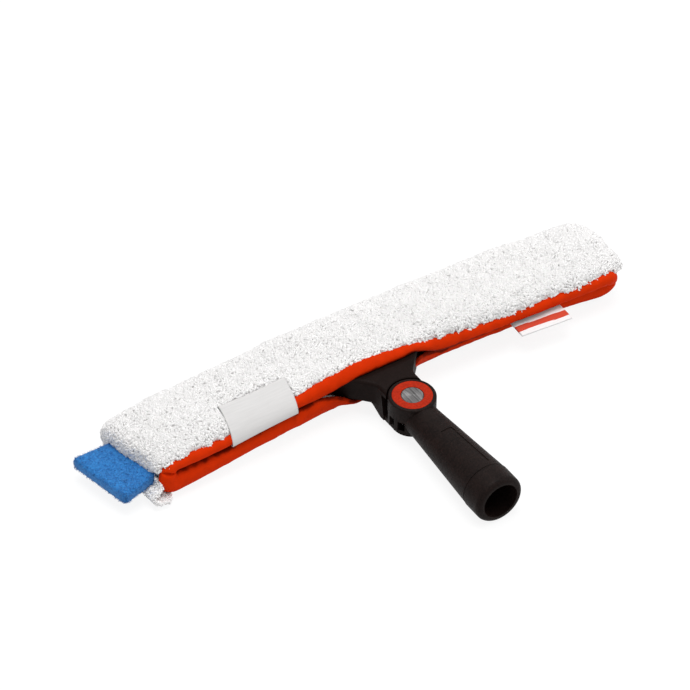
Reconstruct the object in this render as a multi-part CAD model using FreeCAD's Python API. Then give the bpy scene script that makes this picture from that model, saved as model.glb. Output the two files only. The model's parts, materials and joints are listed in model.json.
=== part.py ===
import FreeCAD, Part
import math
import os

from FreeCAD import Vector

# Window scrubber: a T-bar in a fleece sleeve that swivels on a short pole handle. Millimetres, +Z up.
# The pieces are drawn about the hinge axis, with the bar towards +Y and the handle towards -Y.
# At the end they are moved so that the origin is the centre of the pole socket's mouth.

# Handle tube and pole socket
HANDLE_LENGTH = 99.0
MOUTH_RADIUS = 16.8
MOUTH_ROUND = 3.6
COLLAR_LENGTH = 16.0
COLLAR_STEP = 0.3
GROOVE_WIDTH = 1.0
GROOVE_DEPTH = 0.8
TUBE_ROOT_RADIUS = 11.6
SOCKET_RADIUS = 12.2
SOCKET_DEPTH = 46.0
CORE_RADIUS = 8.0
CORE_FLOOR = 72.0
PANEL_START = 38.0
PANEL_LENGTH = 40.0
PANEL_ANGLE = 36.0
PANEL_DEPTH = 0.4

# Hinge drum at the end of the handle
DRUM_RADIUS = 15.3
DRUM_TOP = 12.0
DRUM_RIM_ROUND = 1.2
SKIRT_WALL = 2.9
DECK_UNDERSIDE = 6.5
HUB_RADIUS = 8.0
NOTCH_COUNT = 9
NOTCH_STEP = 30.0
NOTCH_WIDTH = 5.0
NOTCH_HEIGHT = 8.8
RING_RADIUS = 13.0
RING_DEPTH = 2.8
RING_BEVEL = 0.2

# Hinge pin and what it runs in
PIN_RADIUS = 4.5
PIN_HEAD_RADIUS = 7.25
PIN_HEAD_PROUD = 0.1
PIN_HEAD_CHAMFER = 0.5
PIN_SPIGOT_RADIUS = 3.0
BUSH_WALL = 1.5
SCREW_RADIUS = 2.0
SCREW_LENGTH = 16.0
SCREW_HEAD_RADIUS = 3.8
SCREW_HEAD_HEIGHT = 2.3
SCREW_SOCKET_RADIUS = 1.5
SCREW_SOCKET_DEPTH = 1.3
WASHER_RADIUS = 6.0
WASHER_THICK = 0.8
SPRING_WASHER_RADIUS = 7.6
SPRING_WASHER_THICK = 0.4

# Lug, neck and bar of the T-bar
LUG_RADIUS = 12.6
LUG_THICK = 3.4
CRADLE_GAP = 0.9
CRADLE_BEVEL = 0.5
BLOCK_HALF = 13.3
BLOCK_FRONT = 9.9
FLARE_START = 16.5
FLARE_RADIUS = 8.0
FLARE_ANGLE = 42.0
WING_BOTTOM = -4.0
WING_EDGE_ROUND = 2.5
NECK_TOP_AT_LIPS = 10.5
NECK_LEVEL_END = 28.0
NECK_UNDERSIDE = -8.0
NECK_UNDERSIDE_START = 24.0
NECK_TAIL_END = 56.0
RECESS_LID = 4.8
RECESS_HIGH = 5.1
RECESS_LOW = 1.4
BAR_LENGTH = 320.0
BAR_FRONT = 41.0
BAR_DEPTH = 41.0
BAR_THICK = 11.0
BAR_EDGE_ROUND = 3.0
BAR_CORNER = 12.0
WATER_SLOT_COUNT = 6
WATER_SLOT_LENGTH = 14.0
WATER_SLOT_WIDTH = 9.0
WATER_SLOT_ROWS = 2
WATER_SLOT_CORNER = 3.0

# Leaf spring of the click stop
LEAF_THICK = 0.5
LEAF_HEIGHT = 7.5
LEAF_HALF = 8.0
LEAF_FOOT = 2.5
LEAF_DEPTH = 6.6
NOSE_BITE = 1.7
NOSE_HALF = 1.7

# Fleece sleeve
SLEEVE_OVERHANG = 21.0
SLEEVE_FRONT = 32.5
SLEEVE_PAST_BAR = 4.0
SLEEVE_TOP = 15.5
SLEEVE_BOTTOM = -16.6
SLEEVE_BOW = 4.0
SLEEVE_CROWN = 4.0
SLEEVE_SHOULDER = 9.0
SHOULDER_IN = 0.3
SHOULDER_UP = 0.66
SLEEVE_FAR_ROUND = 14.0
SLEEVE_END_ROUND = 7.0
SLEEVE_END_STEPS = 3

# Binding tape: one loop of two lips round the slit
BINDING_INSET = 9.0
LIP_HEIGHT = 9.5
LIP_DEPTH = 6.0
LIP_DEPTH_AT_NECK = 3.6
LIP_SIDE = 2.2
SLIT_HALF = 0.5
MOUTH_FLAT = 29.0
MOUTH_REACH = 60.0
MOUTH_STEPS = 6
LIP_STEPS = 3
LEAN_UPPER = 32.0
LEAN_LOWER = 75.0

# Scrub pad, care label and side tag
PAD_WIDTH = 45.0
PAD_THICK = 9.0
PAD_TOP = 1.0
PAD_PROUD = 22.5
PAD_SEWN_IN = 8.0
PAD_START = 30.0
PAD_CORNER = 7.0
PAD_EDGE_ROUND = 2.5
LABEL_WIDTH = 49.0
LABEL_FROM_END = 91.5
LABEL_THICK = 0.4
LABEL_LAP = 9.0
TAG_WIDTH = 36.0
TAG_FROM_END = 66.3
TAG_PROUD = 11.0
TAG_SEWN_IN = 5.0
TAG_THICK = 0.5

# Clearances
RUNNING_GAP = 0.05
HEAD_GAP = 0.1
AXIAL_GAP = 0.2
LUG_GAP = 0.3
SWEEP_GAP = 0.5
CLOTH_GAP = 0.3
LABEL_GAP = 0.6

# Levels that several pieces share
LUG_BOTTOM = -DRUM_TOP
LUG_TOP = LUG_BOTTOM + LUG_THICK
DRUM_BOTTOM = LUG_TOP + LUG_GAP
HUB_BOTTOM = LUG_TOP + 2.0 * SPRING_WASHER_THICK + AXIAL_GAP
RING_FLOOR = DRUM_TOP - RING_DEPTH
SLEEVE_HALF = BAR_LENGTH / 2.0 + SLEEVE_OVERHANG
SLEEVE_FAR = BAR_FRONT + BAR_DEPTH + SLEEVE_PAST_BAR
BINDING_STRAIGHT = SLEEVE_HALF - BINDING_INSET - LIP_HEIGHT - SLIT_HALF
LABEL_CENTRE = LABEL_FROM_END - SLEEVE_HALF
TAG_CENTRE = SLEEVE_HALF - TAG_FROM_END
MOUTH_RISE = NECK_TOP_AT_LIPS + CLOTH_GAP - SLIT_HALF
POCKET_FLOOR = DRUM_RADIUS - NOSE_BITE + LEAF_DEPTH
LEAF_MIDDLE = DRUM_BOTTOM + NOTCH_HEIGHT / 2.0


def line(a, b):
    return Part.LineSegment(a, b).toShape()


def arc(a, through, b):
    return Part.Arc(a, through, b).toShape()


def face_of(points):
    return Part.Face(Part.makePolygon(points + points[:1]))


def drum_disc(radius, low, high):
    return Part.makeCylinder(radius, high - low, Vector(0, 0, low))


def turned(points):
    # A ring about the hinge axis from its half section, given as radius and height.
    section = face_of([Vector(r, 0, z) for r, z in points])
    return section.revolve(Vector(0, 0, 0), Vector(0, 0, 1), 360)


def tube_radius(distance):
    # Outer radius of the tapered tube at a distance from the mouth.
    start = COLLAR_LENGTH + GROOVE_WIDTH
    share = (distance - start) / (HANDLE_LENGTH - DRUM_RADIUS - start)
    return MOUTH_RADIUS - COLLAR_STEP + share * (TUBE_ROOT_RADIUS - MOUTH_RADIUS + COLLAR_STEP)


def socket_tube():
    # Half section of the tube: radius along X, distance from the mouth along Y.
    root = HANDLE_LENGTH - DRUM_RADIUS
    end = HANDLE_LENGTH - HUB_RADIUS - RUNNING_GAP
    cone = SOCKET_DEPTH + SOCKET_RADIUS - CORE_RADIUS
    groove_end = COLLAR_LENGTH + GROOVE_WIDTH
    bend = MOUTH_ROUND * math.sqrt(0.5)
    lip = [
        Vector(MOUTH_RADIUS - MOUTH_ROUND, 0, 0),
        Vector(MOUTH_RADIUS - MOUTH_ROUND + bend, MOUTH_ROUND - bend, 0),
        Vector(MOUTH_RADIUS, MOUTH_ROUND, 0),
    ]
    outer = [
        lip[2],
        Vector(MOUTH_RADIUS, COLLAR_LENGTH, 0),
        Vector(MOUTH_RADIUS - GROOVE_DEPTH, COLLAR_LENGTH + GROOVE_WIDTH / 2.0, 0),
        Vector(tube_radius(groove_end), groove_end, 0),
        Vector(TUBE_ROOT_RADIUS, root, 0),
        Vector(TUBE_ROOT_RADIUS, end, 0),
        Vector(0, end, 0),
        Vector(0, CORE_FLOOR, 0),
        Vector(CORE_RADIUS, CORE_FLOOR, 0),
        Vector(CORE_RADIUS, cone, 0),
        Vector(SOCKET_RADIUS, SOCKET_DEPTH, 0),
        Vector(SOCKET_RADIUS, 0, 0),
        lip[0],
    ]
    edges = [arc(*lip)] + [line(a, b) for a, b in zip(outer, outer[1:])]
    tube = Part.Face(Part.Wire(edges)).revolve(Vector(0, 0, 0), Vector(0, 1, 0), 360)
    tube.translate(Vector(0, -HANDLE_LENGTH, 0))
    return tube


def name_panel():
    # Shallow bare panel along the top of the tube, concentric with its taper.
    near = HANDLE_LENGTH - PANEL_START - PANEL_LENGTH
    far = HANDLE_LENGTH - PANEL_START
    band = face_of([
        Vector(0, near, tube_radius(near) - PANEL_DEPTH),
        Vector(0, near, tube_radius(near) + PANEL_DEPTH),
        Vector(0, far, tube_radius(far) + PANEL_DEPTH),
        Vector(0, far, tube_radius(far) - PANEL_DEPTH),
    ])
    band.rotate(Vector(0, 0, 0), Vector(0, 1, 0), -PANEL_ANGLE / 2.0)
    panel = band.revolve(Vector(0, 0, 0), Vector(0, 1, 0), PANEL_ANGLE)
    panel.translate(Vector(0, -HANDLE_LENGTH, 0))
    return panel


def index_notches():
    # Slots in the drum's skirt, open at its lower edge, centred on the neck's direction.
    notches = []
    for index in range(NOTCH_COUNT):
        slot = Part.makeBox(NOTCH_WIDTH, 2.0 * DRUM_RADIUS, NOTCH_HEIGHT,
                            Vector(-NOTCH_WIDTH / 2.0, HUB_RADIUS, DRUM_BOTTOM))
        turn = (index - (NOTCH_COUNT - 1) / 2.0) * NOTCH_STEP
        slot.rotate(Vector(0, 0, 0), Vector(0, 0, 1), turn)
        notches.append(slot)
    return Part.makeCompound(notches)


def make_handle():
    drum = drum_disc(DRUM_RADIUS, DRUM_BOTTOM, DRUM_TOP)
    rim = [e for e in drum.Edges if e.isClosed() and e.CenterOfMass.z > DRUM_TOP - RUNNING_GAP]
    drum = drum.makeFillet(DRUM_RIM_ROUND, rim)
    under_lug = drum_disc(DRUM_RADIUS + SWEEP_GAP, LUG_BOTTOM - MOUTH_RADIUS, DRUM_BOTTOM)
    body = socket_tube().cut(name_panel()).cut(under_lug).fuse(drum)
    chamber = drum_disc(DRUM_RADIUS - SKIRT_WALL, DRUM_BOTTOM, DECK_UNDERSIDE)
    chamber = chamber.cut(drum_disc(HUB_RADIUS, HUB_BOTTOM, DECK_UNDERSIDE))
    bore = drum_disc(PIN_RADIUS + RUNNING_GAP + BUSH_WALL, DRUM_BOTTOM, DRUM_TOP)
    ring_seat = drum_disc(RING_RADIUS, RING_FLOOR, DRUM_TOP)
    return body.cut(chamber).cut(bore).cut(ring_seat).cut(index_notches())


def make_hinge_ring():
    inner = PIN_HEAD_RADIUS + HEAD_GAP
    outer = RING_RADIUS - RUNNING_GAP
    return turned([
        (inner, RING_FLOOR), (outer, RING_FLOOR), (outer, DRUM_TOP - RING_BEVEL),
        (outer - RING_BEVEL, DRUM_TOP), (inner + RING_BEVEL, DRUM_TOP), (inner, DRUM_TOP - RING_BEVEL),
    ])


def make_pin_bush():
    inner = PIN_RADIUS + RUNNING_GAP
    return drum_disc(inner + BUSH_WALL, HUB_BOTTOM, RING_FLOOR).cut(
        drum_disc(inner, HUB_BOTTOM, RING_FLOOR))


def make_hinge_pin():
    top = DRUM_TOP + PIN_HEAD_PROUD
    under_head = RING_FLOOR + AXIAL_GAP
    thread_end = LUG_BOTTOM - WASHER_THICK + SCREW_LENGTH
    return turned([
        (SCREW_RADIUS, LUG_BOTTOM), (PIN_SPIGOT_RADIUS, LUG_BOTTOM), (PIN_SPIGOT_RADIUS, LUG_TOP),
        (PIN_RADIUS, LUG_TOP), (PIN_RADIUS, under_head), (PIN_HEAD_RADIUS, under_head),
        (PIN_HEAD_RADIUS, top - PIN_HEAD_CHAMFER), (PIN_HEAD_RADIUS - PIN_HEAD_CHAMFER, top),
        (0, top), (0, thread_end), (SCREW_RADIUS, thread_end),
    ])


def make_pin_washer():
    low = LUG_BOTTOM - WASHER_THICK
    return drum_disc(WASHER_RADIUS, low, LUG_BOTTOM).cut(
        drum_disc(SCREW_RADIUS + RUNNING_GAP, low, LUG_BOTTOM))


def make_pin_screw():
    seat = LUG_BOTTOM - WASHER_THICK
    shank = drum_disc(SCREW_RADIUS - RUNNING_GAP, seat, seat + SCREW_LENGTH - AXIAL_GAP)
    head = drum_disc(SCREW_HEAD_RADIUS, seat - SCREW_HEAD_HEIGHT, seat)
    crown = [e for e in head.Edges if e.isClosed() and e.CenterOfMass.z < seat - SCREW_HEAD_HEIGHT / 2.0]
    head = head.makeFillet(SCREW_HEAD_HEIGHT / 2.0, crown)
    corners = [math.radians(60 * k) for k in range(6)]
    hexagon = face_of([Vector(SCREW_SOCKET_RADIUS * math.cos(a), SCREW_SOCKET_RADIUS * math.sin(a),
                              seat - SCREW_HEAD_HEIGHT) for a in corners])
    return shank.fuse(head).cut(hexagon.extrude(Vector(0, 0, SCREW_SOCKET_DEPTH))).removeSplitter()


def make_spring_washer():
    # Conical disc spring: its wide edge sits on the lug and its narrow edge faces the hub.
    inner = PIN_RADIUS + HEAD_GAP
    top = HUB_BOTTOM - AXIAL_GAP / 2.0
    return turned([(SPRING_WASHER_RADIUS, LUG_TOP), (SPRING_WASHER_RADIUS, LUG_TOP + SPRING_WASHER_THICK),
                   (inner, top), (inner, top - SPRING_WASHER_THICK)])


def wing_plan(grow):
    # Right side of the neck's plan: along the block, round the flare, then on the slant to the tail.
    turn = math.radians(FLARE_ANGLE)
    radius = FLARE_RADIUS - grow
    centre = Vector(BLOCK_HALF + FLARE_RADIUS, FLARE_START, 0)
    flare = [centre + Vector(-radius * math.cos(a), radius * math.sin(a), 0) for a in (0.0, turn / 2.0, turn)]
    tail = NECK_TAIL_END + grow
    run_out = Vector(flare[2].x + (tail - flare[2].y) * math.tan(turn), tail, 0)
    return [Vector(flare[0].x, BLOCK_FRONT - grow, 0)] + flare + [run_out]


def neck_side(grow):
    # Side view of the neck, across its whole width: level over the block, then down to the bar.
    wide = wing_plan(grow)[-1].x
    front, tail, lips = BLOCK_FRONT - grow, NECK_TAIL_END + grow, SLEEVE_FRONT + SLEEVE_BOW
    upper = [(front, DRUM_TOP), (NECK_LEVEL_END, DRUM_TOP), (lips, NECK_TOP_AT_LIPS), (tail, BAR_THICK / 2.0)]
    lower = [(tail, -BAR_THICK / 2.0), (lips, NECK_UNDERSIDE), (NECK_UNDERSIDE_START, NECK_UNDERSIDE),
             (BLOCK_FRONT + RECESS_HIGH, LUG_BOTTOM), (front, LUG_BOTTOM)]
    outline = [Vector(-wide, y, z + grow) for y, z in upper] + [Vector(-wide, y, z - grow) for y, z in lower]
    return face_of(outline).extrude(Vector(2.0 * wide, 0, 0))


def neck_wing(grow):
    # Gusset plate that spreads the neck to the bar, with rounded top edges along its sides.
    right = wing_plan(grow)
    left = [Vector(-p.x, p.y, 0) for p in right]
    sides = [[line(p[0], p[1]), arc(p[1], p[2], p[3]), line(p[3], p[4])] for p in (right, left)]
    plan = Part.Wire(Part.__sortEdges__(
        sides[0] + sides[1] + [line(left[0], right[0]), line(right[4], left[4])]))
    low, top = WING_BOTTOM - grow, DRUM_TOP + grow
    plate = Part.Face(plan).extrude(Vector(0, 0, top - low))
    plate.translate(Vector(0, 0, low))
    crest = [e for e in plate.Edges
             if e.BoundBox.ZMin > WING_BOTTOM and e.BoundBox.YLength > 0 and e.BoundBox.ZLength < CLOTH_GAP]
    return plate.makeFillet(WING_EDGE_ROUND + grow, crest).common(neck_side(grow))


def neck_block(grow):
    # Lower half of the neck, under the gusset plate.
    half, front, low = BLOCK_HALF + grow, BLOCK_FRONT - grow, LUG_BOTTOM - grow
    block = Part.makeBox(2.0 * half, NECK_TAIL_END - front, -low, Vector(-half, front, low))
    return block.common(neck_side(grow))


def bar_blank(grow=0.0):
    half = BAR_LENGTH / 2.0 + grow
    corner = BAR_CORNER + grow
    bar = Part.makeBox(2.0 * half, BAR_DEPTH + 2.0 * grow, BAR_THICK + 2.0 * grow,
                       Vector(-half, BAR_FRONT - grow, -BAR_THICK / 2.0 - grow))
    upright = [e for e in bar.Edges if abs(e.tangentAt(e.FirstParameter).z) > 0.9]
    bar = bar.makeFillet(corner, upright)
    level = [e for e in bar.Edges if abs(e.tangentAt(e.FirstParameter).z) < 0.1]
    return bar.makeFillet(BAR_EDGE_ROUND + grow, level)


def water_slots():
    # Rows of rounded slots through the bar on both sides of the neck, so that water runs through.
    inner = wing_plan(0.0)[-1].x
    pitch = (BAR_LENGTH / 2.0 - inner) / WATER_SLOT_COUNT
    lane = BAR_DEPTH / WATER_SLOT_ROWS
    slots = []
    for side in (-1, 1):
        for index in range(WATER_SLOT_COUNT):
            for row in range(WATER_SLOT_ROWS):
                x = side * (inner + (index + 0.5) * pitch) - WATER_SLOT_LENGTH / 2.0
                y = BAR_FRONT + (row + 0.5) * lane - WATER_SLOT_WIDTH / 2.0
                slot = Part.makeBox(WATER_SLOT_LENGTH, WATER_SLOT_WIDTH, 2.0 * BAR_THICK,
                                    Vector(x, y, -BAR_THICK))
                upright = [e for e in slot.Edges if abs(e.tangentAt(e.FirstParameter).z) > 0.9]
                slots.append(slot.makeFillet(WATER_SLOT_CORNER, upright))
    return Part.makeCompound(slots)


def neck_recess():
    # Undercut below the neck's lid that lets the round tube swing past, deepest under the lid.
    wide = wing_plan(0.0)[-1].x
    lid = DRUM_TOP - RECESS_LID
    profile = face_of([
        Vector(-wide, 0, LUG_BOTTOM), Vector(-wide, BLOCK_FRONT + RECESS_LOW, LUG_BOTTOM),
        Vector(-wide, BLOCK_FRONT + RECESS_HIGH, lid), Vector(-wide, 0, lid),
    ])
    return profile.extrude(Vector(2.0 * wide, 0, 0))


def spring_pocket():
    half = LEAF_HALF + CLOTH_GAP
    tall = LEAF_HEIGHT + 2.0 * CLOTH_GAP
    return Part.makeBox(2.0 * half, POCKET_FLOOR, tall, Vector(-half, 0, LEAF_MIDDLE - tall / 2.0))


def make_t_bar():
    cradle_radius = DRUM_RADIUS + CRADLE_GAP
    cradle = drum_disc(cradle_radius, LUG_TOP, 2.0 * DRUM_TOP)
    bevel = Part.makeCone(cradle_radius, cradle_radius + CRADLE_BEVEL, CRADLE_BEVEL,
                          Vector(0, 0, DRUM_TOP - CRADLE_BEVEL))
    neck = neck_wing(0.0).fuse(neck_block(0.0)).cut(neck_recess()).cut(cradle).cut(bevel)
    lug = drum_disc(LUG_RADIUS, LUG_BOTTOM, LUG_TOP)
    lug = lug.fuse(Part.makeBox(2.0 * LUG_RADIUS, BLOCK_FRONT + RECESS_HIGH, LUG_THICK,
                                Vector(-LUG_RADIUS, 0, LUG_BOTTOM)))
    hole = drum_disc(PIN_SPIGOT_RADIUS + RUNNING_GAP, LUG_BOTTOM, LUG_TOP)
    bar = bar_blank().cut(water_slots())
    return neck.fuse(lug).fuse(bar).cut(spring_pocket()).cut(hole).removeSplitter()


def make_detent_spring():
    # Bent strip: two feet on the pocket's floor, two legs and a round nose in the drum's notch.
    tip = DRUM_RADIUS - NOSE_BITE + LEAF_THICK / 2.0
    foot = POCKET_FLOOR - LEAF_THICK / 2.0
    shoulder = tip + NOSE_HALF
    heel = LEAF_HALF - LEAF_FOOT
    path = Part.Wire([
        line(Vector(-LEAF_HALF, foot, 0), Vector(-heel, foot, 0)),
        line(Vector(-heel, foot, 0), Vector(-NOSE_HALF, shoulder, 0)),
        arc(Vector(-NOSE_HALF, shoulder, 0), Vector(0, tip, 0), Vector(NOSE_HALF, shoulder, 0)),
        line(Vector(NOSE_HALF, shoulder, 0), Vector(heel, foot, 0)),
        line(Vector(heel, foot, 0), Vector(LEAF_HALF, foot, 0)),
    ])
    strip = path.makeOffset2D(LEAF_THICK / 2.0, 0, True, False, False)
    leaf = strip.extrude(Vector(0, 0, LEAF_HEIGHT))
    leaf.translate(Vector(0, 0, LEAF_MIDDLE - LEAF_HEIGHT / 2.0))
    return leaf


def mouth_share(x):
    # 1 where the slit is held open by the neck, falling smoothly to 0 where it is closed.
    share = (abs(x) - MOUTH_FLAT) / (MOUTH_REACH - MOUTH_FLAT)
    return 0.5 + 0.5 * math.cos(math.pi * min(max(share, 0.0), 1.0))


def arch(x):
    # 1 in the middle of the sleeve and 0 at its ends.
    return 1.0 - (x / SLEEVE_HALF) ** 2


def lip_back(x, side):
    # Back edge of a lip at x, from the slit to the seam with the fleece, and its outward normal.
    share = mouth_share(x)
    lean = math.radians(LEAN_UPPER if side > 0 else LEAN_LOWER) * share
    y = SLEEVE_FRONT + SLEEVE_BOW * arch(x)
    inner = Vector(x, y, side * (SLIT_HALF + MOUTH_RISE * share))
    outer = inner + Vector(0, LIP_HEIGHT * math.sin(lean), side * LIP_HEIGHT * math.cos(lean))
    return inner, outer, Vector(0, -math.cos(lean), side * math.sin(lean))


def lip_points(x, side, gap):
    # Corners and crest of a lip's D-shaped section, set off from the fleece by a gap.
    inner, outer, normal = lip_back(x, side)
    depth = LIP_DEPTH + (LIP_DEPTH_AT_NECK - LIP_DEPTH) * mouth_share(x)
    sides = LIP_SIDE * depth / LIP_DEPTH
    base = [inner + normal * gap, outer + normal * gap]
    crest = (inner + outer) * 0.5 + normal * (gap + depth)
    return base[0], base[0] + normal * sides, crest, base[1] + normal * sides, base[1]


def lip_section(x, side):
    slit, slit_side, crest, seam_side, seam = lip_points(x, side, CLOTH_GAP)
    return Part.Wire([line(slit, slit_side), arc(slit_side, crest, seam_side), line(seam_side, seam),
                      line(seam, slit)])


def lip_stations():
    # Places along the bar where the lips' section is drawn, closer together beside the neck.
    steps = [MOUTH_FLAT + (MOUTH_REACH - MOUTH_FLAT) * k / MOUTH_STEPS for k in range(MOUTH_STEPS)]
    outer = BINDING_STRAIGHT - MOUTH_REACH
    steps += [MOUTH_REACH + outer * k / LIP_STEPS for k in range(LIP_STEPS + 1)]
    return [-x for x in reversed(steps)] + [0.0] + steps


def make_sleeve_binding():
    lips = [Part.makeLoft([lip_section(x, side) for x in lip_stations()], True, True) for side in (1, -1)]
    for end in (-1, 1):
        section = Part.Face(lip_section(end * BINDING_STRAIGHT, 1))
        lips.append(section.revolve(Vector(end * BINDING_STRAIGHT, 0, 0), Vector(0, 1, 0), end * 180))
    return lips[0].fuse(lips[1:]).removeSplitter()


def sleeve_section(x, inset):
    # Fleece section: front edges that carry the lips, shoulders, crowned top, round far edge, flat bottom.
    top_in, top_out = lip_back(x, 1)[:2]
    low_in, low_out = lip_back(x, -1)[:2]
    draw_in = Vector(0, inset / 2.0, 0)
    top_in, top_out = top_in + draw_in, top_out + draw_in - Vector(0, 0, inset / 2.0)
    low_in, low_out = low_in + draw_in, low_out + draw_in + Vector(0, 0, inset / 2.0)
    top = SLEEVE_TOP + SLEEVE_CROWN * arch(x) - inset
    bottom = SLEEVE_BOTTOM + inset
    far = SLEEVE_FAR + SLEEVE_BOW * arch(x) - inset
    turn = far - SLEEVE_FAR_ROUND
    middle = (top + bottom) / 2.0
    bend = math.sqrt(0.5)
    top_start = Vector(x, top_out.y + SLEEVE_SHOULDER, top)
    low_start = Vector(x, low_out.y + SLEEVE_SHOULDER, bottom)
    top_turn = Vector(x, turn, top)
    low_turn = Vector(x, turn, bottom)
    tip = Vector(x, far, middle)
    top_bend = Vector(x, turn + SLEEVE_FAR_ROUND * bend, middle + (top - middle) * bend)
    low_bend = Vector(x, turn + SLEEVE_FAR_ROUND * bend, middle + (bottom - middle) * bend)
    shoulder = Vector(x, top_out.y + SHOULDER_IN * SLEEVE_SHOULDER,
                      top_out.z + SHOULDER_UP * (top - top_out.z))
    hip = Vector(x, low_out.y + SHOULDER_IN * SLEEVE_SHOULDER,
                 low_out.z + SHOULDER_UP * (bottom - low_out.z))
    return Part.Wire([
        line(top_in, top_out), arc(top_out, shoulder, top_start), line(top_start, top_turn),
        arc(top_turn, top_bend, tip), arc(tip, low_bend, low_turn), line(low_turn, low_start),
        arc(low_start, hip, low_out), line(low_out, low_in), line(low_in, top_in),
    ])


def make_sleeve_fleece():
    turns = [math.pi / 2.0 * k / SLEEVE_END_STEPS for k in range(SLEEVE_END_STEPS)]
    ends = [(SLEEVE_HALF - SLEEVE_END_ROUND * (1.0 - math.cos(a)), SLEEVE_END_ROUND * (1.0 - math.sin(a)))
            for a in turns]
    stations = [(-x, inset) for x, inset in ends] + [(x, 0.0) for x in lip_stations()]
    stations += [(x, inset) for x, inset in reversed(ends)]
    blank = Part.makeLoft([sleeve_section(x, inset) for x, inset in stations], True, True)
    slit = Part.makeBox(2.0 * BINDING_STRAIGHT, BAR_FRONT + BAR_DEPTH / 2.0, 2.0 * SLIT_HALF,
                        Vector(-BINDING_STRAIGHT, 0, -SLIT_HALF))
    pocket = Part.makeBox(PAD_SEWN_IN + CLOTH_GAP + SLEEVE_END_ROUND, PAD_WIDTH + 2.0 * CLOTH_GAP,
                          PAD_THICK + 2.0 * CLOTH_GAP,
                          Vector(-SLEEVE_HALF - SLEEVE_END_ROUND, PAD_START - CLOTH_GAP,
                                 PAD_TOP - PAD_THICK - CLOTH_GAP))
    cavity = bar_blank(CLOTH_GAP).fuse([neck_wing(CLOTH_GAP), neck_block(CLOTH_GAP)])
    return blank.cut(cavity).cut(slit).cut(pocket)


def make_scrub_pad():
    pad = Part.makeBox(PAD_PROUD + PAD_SEWN_IN, PAD_WIDTH, PAD_THICK,
                       Vector(-SLEEVE_HALF - PAD_PROUD, PAD_START, PAD_TOP - PAD_THICK))
    outer = -SLEEVE_HALF - PAD_PROUD + CLOTH_GAP
    corners = [e for e in pad.Edges
               if e.CenterOfMass.x < outer and abs(e.tangentAt(e.FirstParameter).z) > 0.9]
    pad = pad.makeFillet(PAD_CORNER, corners)
    inner = -SLEEVE_HALF + PAD_SEWN_IN - CLOTH_GAP
    rims = [e for e in pad.Edges
            if e.CenterOfMass.x < inner and abs(e.tangentAt(e.FirstParameter).z) < 0.1]
    return pad.makeFillet(PAD_EDGE_ROUND, rims)


def label_section(x):
    # The label's strip: from the fleece's shoulder, over the upper lip and down to the slit.
    slit, slit_side, crest, seam_side, seam = lip_points(x, 1, CLOTH_GAP + LABEL_GAP)
    top = SLEEVE_TOP + SLEEVE_CROWN * arch(x)
    start = Vector(x, seam.y + LABEL_LAP, top + LABEL_GAP)
    shoulder = Vector(x, seam.y + SHOULDER_IN * LABEL_LAP, seam.z + SHOULDER_UP * (top - seam.z) + LABEL_GAP)
    path = Part.Wire([arc(start, shoulder, seam_side), arc(seam_side, crest, slit_side)])
    return path.makeOffset2D(LABEL_THICK, 0, True, True, False).OuterWire


def make_care_label():
    ends = [LABEL_CENTRE - LABEL_WIDTH / 2.0, LABEL_CENTRE + LABEL_WIDTH / 2.0]
    return Part.makeLoft([label_section(x) for x in ends], True, True)


def make_side_tag():
    root = lip_back(TAG_CENTRE, 1)[0].y
    front = root - LIP_DEPTH - TAG_PROUD
    return Part.makeBox(TAG_WIDTH, LIP_DEPTH + TAG_PROUD + TAG_SEWN_IN, TAG_THICK,
                        Vector(TAG_CENTRE - TAG_WIDTH / 2.0, front, -TAG_THICK / 2.0))


PIECES = {
    "handle": make_handle,
    "hinge_ring": make_hinge_ring,
    "pin_bush": make_pin_bush,
    "hinge_pin": make_hinge_pin,
    "pin_washer": make_pin_washer,
    "pin_screw": make_pin_screw,
    "spring_washer": make_spring_washer,
    "t_bar": make_t_bar,
    "detent_spring": make_detent_spring,
    "sleeve_fleece": make_sleeve_fleece,
    "sleeve_binding": make_sleeve_binding,
    "scrub_pad": make_scrub_pad,
    "care_label": make_care_label,
    "side_tag": make_side_tag,
}

os.makedirs("parts", exist_ok=True)
for name, make in PIECES.items():
    piece = make()
    piece.translate(Vector(0, HANDLE_LENGTH, 0))
    piece.exportStep("parts/%s.step" % name)
    print(name, "solids", len(piece.Solids), "valid", piece.isValid(), "volume", round(piece.Volume, 1))
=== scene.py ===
"""Dress the window scrubber's CAD frame for rendering.

The rigid mouldings and the hinge's small parts keep their CAD meshes and get finishes. The fleece sleeve,
its binding, the scrub pad, the care label and the side tag are surfaces worked out on grids, and stand for
the plain soft solids of the frame. Lengths are millimetres until a mesh is filled. "Reach" is the distance
from the hinge axis towards the bar.
"""
import json
import logging
from dataclasses import dataclass
from enum import Enum
from typing import Sequence

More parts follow.
